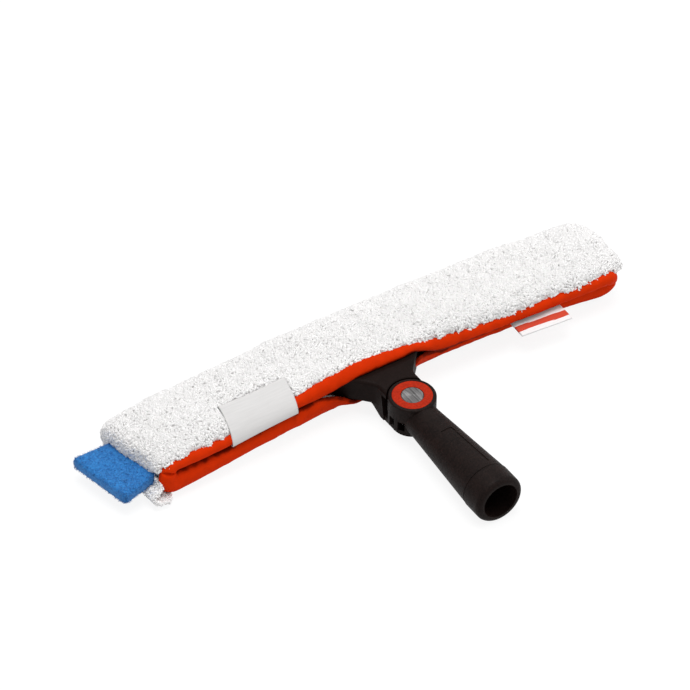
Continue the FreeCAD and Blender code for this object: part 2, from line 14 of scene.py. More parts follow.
import bpy
import numpy as np
from mathutils import Matrix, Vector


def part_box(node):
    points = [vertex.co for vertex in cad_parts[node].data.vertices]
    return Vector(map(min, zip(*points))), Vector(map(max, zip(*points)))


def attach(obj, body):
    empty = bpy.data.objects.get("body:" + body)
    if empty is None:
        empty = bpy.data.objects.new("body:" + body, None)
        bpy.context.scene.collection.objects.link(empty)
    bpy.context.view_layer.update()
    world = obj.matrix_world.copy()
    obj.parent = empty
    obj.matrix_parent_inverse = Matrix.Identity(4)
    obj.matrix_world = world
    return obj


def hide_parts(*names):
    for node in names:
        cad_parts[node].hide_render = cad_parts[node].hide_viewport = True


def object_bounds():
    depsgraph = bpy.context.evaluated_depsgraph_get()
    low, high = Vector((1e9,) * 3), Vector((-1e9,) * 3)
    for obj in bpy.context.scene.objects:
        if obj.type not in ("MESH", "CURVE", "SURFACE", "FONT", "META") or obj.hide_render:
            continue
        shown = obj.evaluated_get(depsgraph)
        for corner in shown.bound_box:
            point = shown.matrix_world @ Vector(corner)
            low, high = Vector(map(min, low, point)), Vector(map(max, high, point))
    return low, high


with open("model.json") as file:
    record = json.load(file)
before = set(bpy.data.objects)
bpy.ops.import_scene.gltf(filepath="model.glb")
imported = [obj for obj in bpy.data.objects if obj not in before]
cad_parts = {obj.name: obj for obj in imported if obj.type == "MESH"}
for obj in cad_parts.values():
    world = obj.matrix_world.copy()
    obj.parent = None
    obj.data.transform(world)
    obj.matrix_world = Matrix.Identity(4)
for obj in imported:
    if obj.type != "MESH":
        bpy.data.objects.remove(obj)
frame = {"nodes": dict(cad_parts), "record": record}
CAD_BOX = [list(corner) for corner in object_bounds()]

Array = np.ndarray
Triple = tuple[float, float, float]
Colour = Triple
Knots = tuple[float, ...]
Edges = tuple[Array, Array, Array]
Socket, Material, Piece = bpy.types.NodeSocket, bpy.types.Material, bpy.types.Object
MM = 0.001
HINGE = np.array([0.0, frame["record"]["behaviour"]["joints"][0]["pos_m"][1] / MM, 0.0])
HEAD = "head"
WHITE = (1.0, 1.0, 1.0, 1.0)

log = logging.getLogger("scrubber")


class Lip(Enum):
    """The two sides of the sleeve's slit."""

    UPPER = "upper"
    LOWER = "lower"


def ease(t: Array) -> Array:
    """Half a cosine wave from 0 to 1 while t goes from 0 to 1, level outside."""
    return 0.5 - 0.5 * np.cos(np.pi * np.clip(t, 0.0, 1.0))


def blend(a: Array, b: Array, share: Array) -> Array:
    """Straight mix of a and b, with share 0 at a and 1 at b."""
    return a + (b - a) * share


def bell(t: Array) -> Array:
    """Bell curve exp(-t^2), which is 1 at 0."""
    return np.exp(-(t ** 2))


def circle(count: int) -> Array:
    """Angles spread evenly round a circle."""
    return np.linspace(0.0, 2.0 * np.pi, count, endpoint=False)


def within(values: Array, band: tuple[float, float]) -> Array:
    """Whether each value lies between the two ends of a band."""
    return (values > band[0]) & (values < band[1])


def gathered(*parts: Array) -> Array:
    """Arrays of numbers side by side along a new last direction, each spread over the shape of all."""
    return np.stack(np.broadcast_arrays(*parts), -1)


def through(x: Array, places: Sequence[float], values: Sequence[float]) -> Array:
    """Smooth curve through a few points.

    Between two points it is the cubic that has their values and, at each, the slope of the line between that
    point's neighbours. Outside the points it stays level.

    Args:
        x: Where the curve is wanted.
        places: The points' places, rising.
        values: The points' values.

    Returns:
        The curve's value at each x.
    """
    places, values = np.asarray(places, float), np.asarray(values, float)
    slopes = np.gradient(values, places)
    x = np.clip(x, places[0], places[-1])
    i = np.clip(np.searchsorted(places, x) - 1, 0, len(places) - 2)
    span = places[i + 1] - places[i]
    t = (x - places[i]) / span
    start = (1 + 2 * t) * (1 - t) ** 2 * values[i] + t * (1 - t) ** 2 * span * slopes[i]
    return start + t * t * (3 - 2 * t) * values[i + 1] + t * t * (t - 1) * span * slopes[i + 1]


def lumps(points: Array, size: float, seed: int) -> Array:
    """Soft random lumps in space, between -1 and 1.

    Every corner of a cubic lattice holds a random value. A point takes the mix of its cell's eight corners,
    weighted by a smooth step of its place in the cell.

    Args:
        points: Places, (..., 3).
        size: Width of a lattice cell.
        seed: Picks another lattice.

    Returns:
        One value for each point.
    """
    cell = np.floor(points / size).astype(np.int64)
    part = points / size - cell
    part = part * part * (3 - 2 * part)
    total = np.zeros(points.shape[:-1])
    for corner in np.ndindex(2, 2, 2):
        at = cell + np.array(corner)
        key = at[..., 0] * 73856093 ^ at[..., 1] * 19349663 ^ at[..., 2] * 83492791 ^ seed * 2654435761
        key = (key ^ (key >> 13)) * 1274126177
        value = ((key ^ (key >> 16)) & 0xFFFF) / 32767.5 - 1.0
        total += value * np.prod(np.where(corner, part, 1 - part), axis=-1)
    return total


def layered(points: Array, layers: Sequence[tuple[float, float]], seed: int) -> Array:
    """Sum of layers of lumps, each with its own depth and size."""
    return sum(depth * lumps(points, size, seed + i) for i, (depth, size) in enumerate(layers))


def unit(vectors: Array) -> Array:
    """The vectors, each scaled to length 1."""
    return vectors / np.maximum(np.linalg.norm(vectors, axis=-1, keepdims=True), 1e-9)


def grid_faces(rows: int, columns: int, wrap_rows: bool = False, wrap_columns: bool = False) -> Array:
    """Corner numbers of the quads of a grid of points, row after row.

    Args:
        rows: Points along the first direction.
        columns: Points along the second direction.
        wrap_rows: Join the last row to the first.
        wrap_columns: Join the last column to the first.

    Returns:
        Quads, (n, 4).
    """
    row = np.arange(rows if wrap_rows else rows - 1)[:, None]
    column = np.arange(columns if wrap_columns else columns - 1)[None, :]
    below, beside = (row + 1) % rows, (column + 1) % columns
    here, there = row * columns, below * columns
    return gathered(here + column, here + beside, there + beside, there + column).reshape(-1, 4)


def tube_faces(rows: int, columns: int) -> list[Array]:
    """Faces of a tube of rings: its wall, and a cap to a pole at each end, the two poles coming last."""
    column = np.arange(columns)
    beside = (column + 1) % columns
    pole, last = np.full(columns, rows * columns), (rows - 1) * columns
    near = np.stack([column, beside, pole], -1)
    away = np.stack([last + beside, last + column, pole + 1], -1)
    return [grid_faces(rows, columns, wrap_columns=True)[:, ::-1], near, away]


def make_piece(name: str, points: Array, faces: Sequence[Array], material: Material) -> Piece:
    """Fill a mesh from arrays and let it ride on the head.

    Args:
        name: The piece's name.
        points: Vertices in x, reach and height, (..., 3).
        faces: Arrays of corner numbers, one array for each number of corners.
        material: The finish.

    Returns:
        The new object.
    """
    mesh = bpy.data.meshes.new(name)
    points = points.reshape(-1, 3) + HINGE
    counts = np.concatenate([np.full(len(f), f.shape[1]) for f in faces])
    corners = np.concatenate([f.ravel() for f in faces]).astype(np.int32)
    mesh.vertices.add(len(points))
    mesh.vertices.foreach_set("co", (points * MM).astype(np.float32).ravel())
    mesh.loops.add(len(corners))
    mesh.loops.foreach_set("vertex_index", corners)
    mesh.polygons.add(len(counts))
    mesh.polygons.foreach_set("loop_start", (np.cumsum(counts) - counts).astype(np.int32))
    mesh.polygons.foreach_set("use_smooth", np.ones(len(counts), bool))
    mesh.update(calc_edges=True)
    mesh.validate()
    mesh.materials.append(material)
    piece = bpy.data.objects.new(name, mesh)
    bpy.context.scene.collection.objects.link(piece)
    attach(piece, HEAD)
    log.info("%s: %d faces on %s", name, len(counts), HEAD)
    return piece


def repeated(faces: Sequence[Array], corners: int, copies: int) -> list[Array]:
    """Faces of many copies of a shape, each copy's corners coming after those of the one before."""
    first = corners * np.arange(copies)[:, None, None]
    return [(f[None] + first).reshape(-1, f.shape[1]) for f in faces]


def thicken(piece: Piece, thick: float) -> None:
    """Give a sheet its thickness, half of it to each side."""
    wall = piece.modifiers.new("thickness", "SOLIDIFY")
    wall.thickness, wall.offset = thick * MM, 0.0


def give_values(piece: Piece, name: str, values: Array) -> None:
    """Store one number for each vertex, which a finish can read by name."""
    layer = piece.data.attributes.new(name, "FLOAT", "POINT")
    layer.data.foreach_set("value", values.astype(np.float32).ravel())


def add_node(tree: bpy.types.NodeTree, kind: str, *ordered: Socket,
             **named: Socket | float | Sequence[float]) -> bpy.types.Node:
    """Add a shader node and fill its inputs: a socket is linked, and a number is set.

    Args:
        tree: The nodes of a material or of the world.
        kind: The node's type, without its prefix.
        ordered: Sources of the first inputs.
        named: Sources and numbers of inputs by name, underscores standing for spaces.

    Returns:
        The node.
    """
    node = tree.nodes.new("ShaderNode" + kind)
    by_name = [(node.inputs[key.replace("_", " ")], source) for key, source in named.items()]
    for socket, source in [*zip(node.inputs, ordered), *by_name]:
        if isinstance(source, Socket):
            tree.links.new(source, socket)
        else:
            socket.default_value = source
    return node


class Shader:
    """A node material under construction, with a Principled shader at its end."""

    def __init__(self, name: str) -> None:
        """Start an empty material.

        Args:
            name: The material's name.
        """
        self.material = bpy.data.materials.new(name)
        self.material.use_nodes = True
        self.tree = self.material.node_tree
        self.surface = self.tree.nodes["Principled BSDF"]
        self.places = self.node("TexCoord").outputs["Object"]

    def node(self, kind: str, *ordered: Socket, **named: Socket | float | Sequence[float]) -> bpy.types.Node:
        """Add a node to the material."""
        return add_node(self.tree, kind, *ordered, **named)

    def put(self, **numbers: float | Colour) -> None:
        """Set the shader's own sockets, underscores standing for spaces in their names."""
        for key, value in numbers.items():
            socket = self.surface.inputs[key.replace("_", " ")]
            wide = isinstance(value, tuple)
            socket.default_value = (*value, 1.0)[:len(socket.default_value)] if wide else value

    def drive(self, socket: str, source: Socket) -> None:
        """Let nodes drive one of the shader's sockets."""
        self.tree.links.new(source, self.surface.inputs[socket])

    def moved(self, turn: Triple = (0, 0, 0), shift: Triple = (0, 0, 0),
              stretch: Triple = (1, 1, 1)) -> Socket:
        """Object coordinates after a shift in millimetres, a turn in radians and a stretch."""
        place = [v * MM for v in shift]
        node = self.node("Mapping", Location=place, Rotation=turn, Scale=stretch, Vector=self.places)
        return node.outputs["Vector"]

    def grain(self, size: float, detail: float = 2.0, at: Socket | None = None) -> Socket:
        """Noise from 0 to 1.

        Args:
            size: Width of its lumps in millimetres.
            detail: How many finer layers it has.
            at: Coordinates, if not the object's own.

        Returns:
            The noise.
        """
        node = self.node("TexNoise", Scale=1.0 / (size * MM), Detail=detail, Vector=at or self.places)
        return node.outputs["Fac"]

    def ribs(self, pitch: float, direction: str, at: Socket | None = None,
             rings: bool = False, wobble: float = 0.0) -> Socket:
        """Even waves from 0 to 1, in bands across an axis or in rings round it.

        Args:
            pitch: Distance between crests in millimetres.
            direction: The axis.
            at: Coordinates, if not the object's own.
            rings: Rings in place of bands.
            wobble: Unevenness of the waves.

        Returns:
            The waves.
        """
        scale = np.pi / (10.0 * pitch * MM)
        node = self.node("TexWave", Scale=scale, Distortion=wobble, Vector=at or self.places)
        node.wave_type = "RINGS" if rings else "BANDS"
        setattr(node, "rings_direction" if rings else "bands_direction", direction)
        return node.outputs["Fac"]

    def value(self, name: str) -> Socket:
        """A number stored on the mesh."""
        node = self.node("Attribute")
        node.attribute_name = name
        return node.outputs["Fac"]

    def maths(self, operation: str, a: Socket, b: Socket) -> Socket:
        """One sum of two numbers."""
        node = self.node("Math", a, b)
        node.operation = operation
        return node.outputs[0]

    def between(self, amount: Socket, low: float, high: float,
                start: float = 0.3, end: float = 0.7) -> Socket:
        """Stretch an amount from start..end to low..high."""
        node = self.node("MapRange", From_Min=start, From_Max=end, To_Min=low, To_Max=high, Value=amount)
        return node.outputs["Result"]

    def shades(self, amount: Socket, stops: Sequence[tuple[float, Colour]]) -> Socket:
        """Colours along an amount.

        Args:
            amount: From 0 to 1.
            stops: Places and their colours, rising.

        Returns:
            The colour.
        """
        node = self.node("ValToRGB", Fac=amount)
        marks = node.color_ramp.elements
        while len(marks) < len(stops):
            marks.new(0.5)
        for mark, (place, colour) in zip(marks, stops):
            mark.position, mark.color = place, (*colour, 1.0)
        return node.outputs["Color"]

    def relief(self, height: Socket, depth: float, strength: float = 1.0) -> None:
        """Raise the surface by an amount from 0 to 1.

        Args:
            height: The amount.
            depth: Height of its crests in millimetres.
            strength: How much of it shows.
        """
        node = self.node("Bump", Strength=strength, Distance=depth * MM, Height=height)
        self.drive("Normal", node.outputs["Normal"])


def tints(colour: Colour, *stops: tuple[float, float]) -> list[tuple[float, Colour]]:
    """Stops of one colour, each a place and the factor that makes it lighter or darker there."""
    return [(place, tuple(min(1.0, c * factor) for c in colour)) for place, factor in stops]


@dataclass(frozen=True)
class MouldedPlastic:
    """Moulded plastic with the fine grain of an eroded mould."""

    name: str
    colour: Colour
    rough: float
    grain: float = 0.5
    grain_depth: float = 0.12
    fleck_and_glint: float = 0.2
    shine: float = 0.1

    def material(self) -> Material:
        """Faint streaks in the colour, fine specks of random tone that are partly painted glints, uneven gloss
        and the grain as relief.
        """
        s = Shader(self.name)
        s.put(Specular_IOR_Level=self.shine)
        # specks of random tone, partly painted glints of the grain
        cloud = s.maths("ADD", s.between(s.grain(9.0, 4.0), -0.12, 0.12), s.grain(1.3, 3.0))
        flecks_and_glints = tints(self.colour, (0.3, 1.0 - self.fleck_and_glint), (0.7, 1.0 + self.fleck_and_glint))
        s.drive("Base Color", s.shades(cloud, flecks_and_glints))
        s.drive("Roughness", s.between(s.grain(2.2, 5.0), self.rough - 0.06, self.rough + 0.08))
        s.relief(s.grain(self.grain, 3.0), self.grain_depth)
        return s.material


@dataclass(frozen=True)
class TurnedMetal:
    """Metal with the fine rings that a lathe leaves round the hinge axis."""

    name: str
    colour: Colour
    rough: float
    axis_y: float
    pitch: float = 0.24
    scuff_and_highlight_turn: float = -0.35

    def material(self) -> Material:
        """Rings in the relief, and scuff marks across them that change its gloss and lighten the face, with a
        broad painted highlight streak along one slant among them.
        """
        s = Shader(self.name)
        s.put(Metallic=1.0, Anisotropic=0.8)
        centred = s.moved(shift=(0.0, -self.axis_y, 0.0))
        rings = s.ribs(self.pitch, "Z", centred, rings=True, wobble=0.6)
        fine = s.grain(0.7, 4.0, s.moved(turn=(0, 0, self.scuff_and_highlight_turn), stretch=(1.0, 0.06, 1.0)))
        broad_scuff_and_highlight = s.grain(3.0, 2.0, s.moved(turn=(0, 0, self.scuff_and_highlight_turn), stretch=(1.0, 0.1, 1.0)))
        # the broad marks along one slant are a painted highlight streak, the fine ones scuff marks
        scuffs_and_highlight = s.maths("ADD", s.between(fine, -0.3, 0.3), broad_scuff_and_highlight)
        s.drive("Base Color", s.shades(scuffs_and_highlight, tints(self.colour, (0.2, 0.5), (0.8, 1.6))))
        s.drive("Roughness", s.between(scuffs_and_highlight, self.rough - 0.08, self.rough + 0.1))
        tangent = s.node("Tangent")
        tangent.direction_type, tangent.axis = "RADIAL", "Z"
        s.drive("Tangent", tangent.outputs["Tangent"])
        s.relief(rings, 0.02, 0.5)
        return s.material


@dataclass(frozen=True)
class RolledSteel:
    """Plain steel of the hidden hinge hardware."""

    name: str
    colour: Colour
    rough: float

    def material(self) -> Material:
        """Brushed streaks and faint cloudiness."""
        s = Shader(self.name)
        s.put(Metallic=1.0)
        streaks = s.grain(0.3, 4.0, s.moved(stretch=(0.06, 1.0, 1.0)))
        s.drive("Base Color", s.shades(streaks, tints(self.colour, (0.3, 0.85), (0.7, 1.1))))
        s.drive("Roughness", s.between(s.grain(3.0, 3.0), self.rough - 0.07, self.rough + 0.1))
        s.relief(streaks, 0.015, 0.5)
        return s.material


@dataclass(frozen=True)
class LoopedPile:
    """White pile yarn with painted light: paler in its depth, where shade falls between the loops, and painted
    shade at the darker loop tops.
    """

    name: str
    # light is the loop tops' colour, darkened as painted shade; deep is the paler colour of the feet and body,
    # painted light against their shade
    light: Colour
    deep: Colour
    spread: float = 0.8

    def material(self) -> Material:
        """Yarn colour from the stored depth, painted paler low in the pile and darker at the loop tops, and
        from a soft cloud; light spread inside, and twist as relief.
        """
        s = Shader(self.name)
        s.put(Roughness=0.95, Specular_IOR_Level=0.05)
        s.put(Subsurface_Weight=0.6, Subsurface_Scale=self.spread * MM, Subsurface_Radius=(1.0, 1.0, 1.0))
        cloud = s.between(s.grain(5.0, 3.0), -0.12, 0.12)
        depth = s.maths("ADD", s.value("depth"), cloud)
        # painted light and shade: pale at the feet and body, darker at the loop tops
        s.drive("Base Color", s.shades(depth, [(0.05, self.deep), (0.75, self.light)]))
        s.relief(s.grain(0.35, 2.0), 0.12, 0.5)
        return s.material


@dataclass(frozen=True)
class WovenTape:
    """Dyed woven tape with fine ribs along the lips."""

    name: str
    colour: Colour
    rib: float = 0.55

    def material(self) -> Material:
        """Uneven dye, with painted shade darkening it where the stored fold value marks the slit edges, and
        ribs and cross threads as relief.
        """
        s = Shader(self.name)
        s.put(Specular_IOR_Level=0.03)
        # the stored fold value is painted shade along the slit edges, taken off the dye's cloud
        cloud = s.maths("SUBTRACT", s.grain(6.0, 5.0), s.value("fold"))
        dyes_and_slit_shade = tints(self.colour, (0.0, 0.25), (0.3, 0.92), (0.7, 1.06))
        s.drive("Base Color", s.shades(cloud, dyes_and_slit_shade))
        s.drive("Roughness", s.between(s.grain(1.5, 3.0), 0.62, 0.8))
        slant = s.moved(turn=(0.0, 0.0, 0.9))
        weave = s.maths("MULTIPLY", s.ribs(self.rib, "X", slant, wobble=0.5), s.grain(0.5, 2.0))
        s.relief(weave, 0.12, 0.6)
        return s.material


@dataclass(frozen=True)
class CoarseFelt:
    """Needled felt of matted fibres."""

    name: str
    dark: Colour
    light: Colour

    def material(self) -> Material:
        """Mottled blue from stored depth and two noises, with matted fibres as relief."""
        s = Shader(self.name)
        s.put(Roughness=0.95, Sheen_Weight=0.2, Sheen_Roughness=0.5, Specular_IOR_Level=0.15)
        deep = s.between(s.value("depth"), 0.0, 0.4, 0.0, 1.0)
        mottle = s.maths("ADD", s.between(s.grain(1.2, 5.0), 0.0, 0.7), deep)
        s.drive("Base Color", s.shades(mottle, [(0.1, self.dark), (0.9, self.light)]))
        strands = s.grain(0.5, 4.0, s.moved(turn=(0.4, 0.2, 0.6), stretch=(1.0, 0.3, 1.0)))
        s.relief(strands, 0.3, 0.7)
        return s.material


@dataclass(frozen=True)
class SatinRibbon:
    """White ribbon with a silky face."""

    name: str
    colour: Colour
    rough: float
    stripe: Colour | None = None
    rib: float = 0.32

    def material(self) -> Material:
        """Fine cross ribs as relief, faint slubs in colour and gloss, and a stripe where one is stored."""
        s = Shader(self.name)
        s.put(Sheen_Weight=0.05, Sheen_Roughness=0.3, Specular_IOR_Level=0.12)
        slubs = s.grain(1.2, 3.0, s.moved(stretch=(0.08, 1.0, 1.0)))
        shades = tints(self.colour, (0.3, 0.95), (0.6, 1.02))
        if self.stripe:
            shades += tints(self.stripe, (0.74, 0.95), (1.0, 1.05))
        amount = s.maths("ADD", s.between(slubs, 0.3, 0.6), s.value("stripe"))
        s.drive("Base Color", s.shades(amount, shades))
        s.drive("Roughness", s.between(slubs, self.rough - 0.05, self.rough + 0.1))
        s.relief(s.maths("MULTIPLY", s.ribs(self.rib, "Y"), slubs), 0.03, 0.5)
        return s.material


@dataclass(frozen=True)
class SleeveForm:
    """The curves that the fleece, binding, label and tag share, over the place x along the bar.

    The sleeve's sizes come from the frame. Its front edge, its crown and its far edge arch over the length
    by 1 - (x / half)^2, and the upper lip lifts over the neck by exp(-((x - centre) / width)^2). The edges
    of the slit, the lower seam and the lips' rolls are smooth curves through a few points each.
    """

    half: float
    far: float
    top: float
    bottom: float
    front: float = 31.2
    bow: float = 2.5
    far_bow: float = 4.0
    crown: float = 4.0
    seam_height: float = 9.8
    lift_centre: float = -15.0
    lift_width: float = 63.0
    lift_up: float = 7.0
    lift_back: float = 6.0
    mouth: float = 20.3
    mouth_pull: float = 1.5
    turn_left: float = -155.0
    turn_right: float = 166.8
    slit_places: Knots = (-172, -150, -122, -95, -66, -44, -32, -20, -8, 11, 16, 23, 31, 42, 60, 92, 172)
    high_slit: Knots = (2.9, 2.1, 2.2, 4.4, 6.2, 6.3, 8.4, 11, 11.4, 11.4, 11.4, 11, 8, 3.6, 2.5, 2.1, 0.6)
    low_slit: Knots = (1.3, 0.5, 0.6, 2.8, 4.6, 5.2, 0.2, -8.3, -8.9, -8.9, -7, 5.4, 5.4, 1.4, 0.3, 0.0, -1)
    low_tuck: Knots = (-1, -0.6, -0.5, 0, 0, 0, 0, 0, 0, 0, 0, -3, 0.5, 4.5, 6, 6, 4.5)
    low_places: Knots = (-172, -150, -122, -95, -66, -45, -15, 15, 47, 92, 140, 172)
    low_seam_reach: Knots = (29.5, 30.5, 31.5, 32.5, 34, 37, 44, 44.5, 44, 42, 38.5, 36)
    low_seam_height: Knots = (-15, -14, -11.5, -9.4, -8.2, -10, -13.4, -13.4, -10.5, -9.8, -10.8, -13.5)
    low_bulge: Knots = (6, 6, 5.8, 5.4, 5, 4.2, 3, 3, 3.6, 4.0, 3.4, 3.8)
    high_bulge: Knots = (5.4, 5.4, 5.4, 5.2, 5, 4.2, 3.4, 3.4, 3.8, 4.4, 4.6, 4.6)

    @classmethod
    def from_frame(cls) -> "SleeveForm":
        """Read the sleeve's box from the frame."""
        low, high = np.array(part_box("sleeve_fleece")) / MM - HINGE
        return cls(*high, low[2])

    def arch(self, x: Array) -> Array:
        """1 in the middle of the sleeve, falling to 0 at its ends as a parabola."""
        return 1.0 - (x / self.half) ** 2

    def lift(self, x: Array) -> Array:
        """How far the upper lip is lifted by the neck, as a bell curve."""
        return bell((x - self.lift_centre) / self.lift_width)

    def opening(self, x: Array) -> Array:
        """1 where the neck spreads the slit, falling nearly to 0 where the lips meet."""
        gap = through(x, self.slit_places, self.high_slit) - through(x, self.slit_places, self.low_slit)
        return np.clip(gap / self.mouth, 0.0, 1.0)

    def crown_height(self, x: Array) -> Array:
        """Height of the sleeve's top."""
        return self.top - self.crown + self.crown * self.arch(x)

    def far_reach(self, x: Array) -> Array:
        """Reach of the sleeve's far edge."""
        return self.far - self.far_bow + self.far_bow * self.arch(x)

    def slit_edge(self, x: Array, lip: Lip) -> Array:
        """The lip's edge at the slit: it follows the bow, and opens over the neck.

        Args:
            x: Places along the bar.
            lip: Which lip.

        Returns:
            Points in x, reach and height, (n, 3).
        """
        reach = self.front + self.bow * self.arch(x) - self.mouth_pull * self.opening(x)
        if lip is Lip.UPPER:
            return np.stack([x, reach, through(x, self.slit_places, self.high_slit)], -1)
        reach = reach + through(x, self.slit_places, self.low_tuck)
        return np.stack([x, reach, through(x, self.slit_places, self.low_slit)], -1)

    def seam(self, x: Array, lip: Lip) -> Array:
        """The lip's edge at the fleece.

        Args:
            x: Places along the bar.
            lip: Which lip.

        Returns:
            Points in x, reach and height, (n, 3).
        """
        if lip is Lip.UPPER:
            lift = self.lift(x)
            reach = self.front + self.bow * self.arch(x) + self.lift_back * lift
            return np.stack([x, reach, self.seam_height + self.lift_up * lift], -1)
        reach = through(x, self.low_places, self.low_seam_reach)
        return np.stack([x, reach, through(x, self.low_places, self.low_seam_height)], -1)

    def bulge(self, x: Array, lip: Lip) -> Array:
        """How far the lip's roll stands out."""
        return through(x, self.low_places, self.high_bulge if lip is Lip.UPPER else self.low_bulge)


@dataclass(frozen=True)
class CareLabel:
    """White satin ribbon that is folded over the upper lip."""

    form: SleeveForm
    finish: SatinRibbon
    thick: float = 0.4
    top_reach: float = 50.0
    clear: float = 0.7
    shift: float = -1.6
    skew: float = 0.17
    tuck: float = 0.14
    snug: float = 0.95
    foot: float = 1.6
    tucked_in: float = 1.0
    tucked_down: float = 1.8
    sunk: float = 0.3
    wave: float = 0.4
    wave_length: float = 14.0
    across: int = 50
    along: int = 46

    def span(self) -> tuple[float, float]:
        """Both ends along the bar, from the frame and a small shift."""
        low, high = np.array(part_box("care_label")) / MM
        return float(low[0]) + self.shift, float(high[0]) + self.shift

    def sheet_points(self) -> Array:
        """The ribbon's middle surface.

        It comes out of the slit on a quarter of an ellipse round the foot of the lip's roll, and goes on
        over the lip and the seam to the fleece's shoulder on a quarter of a larger one. It lies a little
        askew, and slow waves lift its far edge.

        Returns:
            Points in x, reach and height, (across, along, 3).
        """
        form = self.form
        x = np.linspace(*self.span(), self.across)
        slit = form.slit_edge(x, Lip.UPPER)
        roll = form.bulge(x, Lip.UPPER) + self.clear
        near, low = (slit[:, 1] - self.snug * roll)[:, None], slit[:, 2:3] + self.foot
        high = form.crown_height(x)[:, None] - self.sunk
        q = np.linspace(0.0, 1.0, self.along)[None, :]
        over = 0.5 * np.pi * np.clip((q - self.tuck) / (1.0 - self.tuck), 0.0, 1.0)
        under = 0.5 * np.pi * np.clip(1.0 - q / self.tuck, 0.0, 1.0)
        inside = (slit[:, 1:2] + self.tucked_in - near) * (1.0 - np.cos(under))
        reach = self.top_reach - (self.top_reach - near) * np.cos(over) + inside
        height = low + (high - low) * np.sin(over) - self.tucked_down * np.sin(under)
        askew = x[:, None] + self.skew * (reach - near)
        points = gathered(askew, reach, height)
        points[..., 2] += lumps(points, self.wave_length, 5) * self.wave * q ** 2
        return points

    def build(self, rests_on: list[Piece]) -> None:
        """Args:
            rests_on: The pieces that it lies on; not used.
        """
        points = self.sheet_points()
        faces = [grid_faces(self.across, self.along)[:, ::-1]]
        piece = make_piece("care_ribbon", points, faces, self.finish.material())
        thicken(piece, self.thick)
        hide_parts("care_label")


@dataclass(frozen=True)
class SideTag:
    """Small doubled ribbon that is sewn into the slit."""

    finish: SatinRibbon
    thick: float = 0.25
    layer_gap: float = 0.42
    droop: float = 1.0
    skew: float = 1.6
    stripe: tuple[float, float] = (3.2, 8.6)
    stripe_edge: float = 0.4
    stripe_mark: float = 0.45
    inset: float = 0.5
    fold_share: float = 0.1
    round_share: float = 0.12
    wave: float = 0.25
    wave_length: float = 11.0
    across: int = 40
    along: int = 72

    def build(self, rests_on: list[Piece]) -> None:
        """Its section is a hairpin: out along the upper layer, round the front fold as a half circle, and back
        along the lower layer. The front fold is on the skew, and droops as the square of its distance from
        the slit.

        Args:
            rests_on: The pieces that hold it; not used.
        """
        low, high = np.array(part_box("side_tag")) / MM - HINGE
        x = np.linspace(low[0], high[0], self.across)
        q = np.linspace(-1.0, 1.0, self.along)
        turn = np.clip((np.abs(q) - self.fold_share) / (1.0 - self.fold_share), 0.0, 1.0)
        along = (x - x[0]) / (x[-1] - x[0])
        front = low[1] + self.inset + self.skew * (1.0 - 2.0 * along)
        reach = blend(front[:, None], high[1], turn[None, :])
        height = np.sign(q) * self.layer_gap * ease(np.abs(q) / self.round_share)
        out = 1.0 - turn
        points = gathered(x[:, None], reach, height[None, :])
        points[..., 2] -= self.droop * out[None, :] ** 2 * (1.0 - 0.5 * along[:, None])
        level = points * np.array([1.0, 1.0, 0.0])
        points[..., 2] += self.wave * lumps(level, self.wave_length, 8) * out[None, :]
        faces = [grid_faces(self.across, self.along)]
        piece = make_piece("slit_tag", points, faces, self.finish.material())
        thicken(piece, self.thick)
        behind = reach - front[:, None]
        inner, outer = behind - self.stripe[0], self.stripe[1] - behind
        woven = ease(inner / self.stripe_edge) * ease(outer / self.stripe_edge)
        give_values(piece, "stripe", self.stripe_mark * woven)
        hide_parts("side_tag")


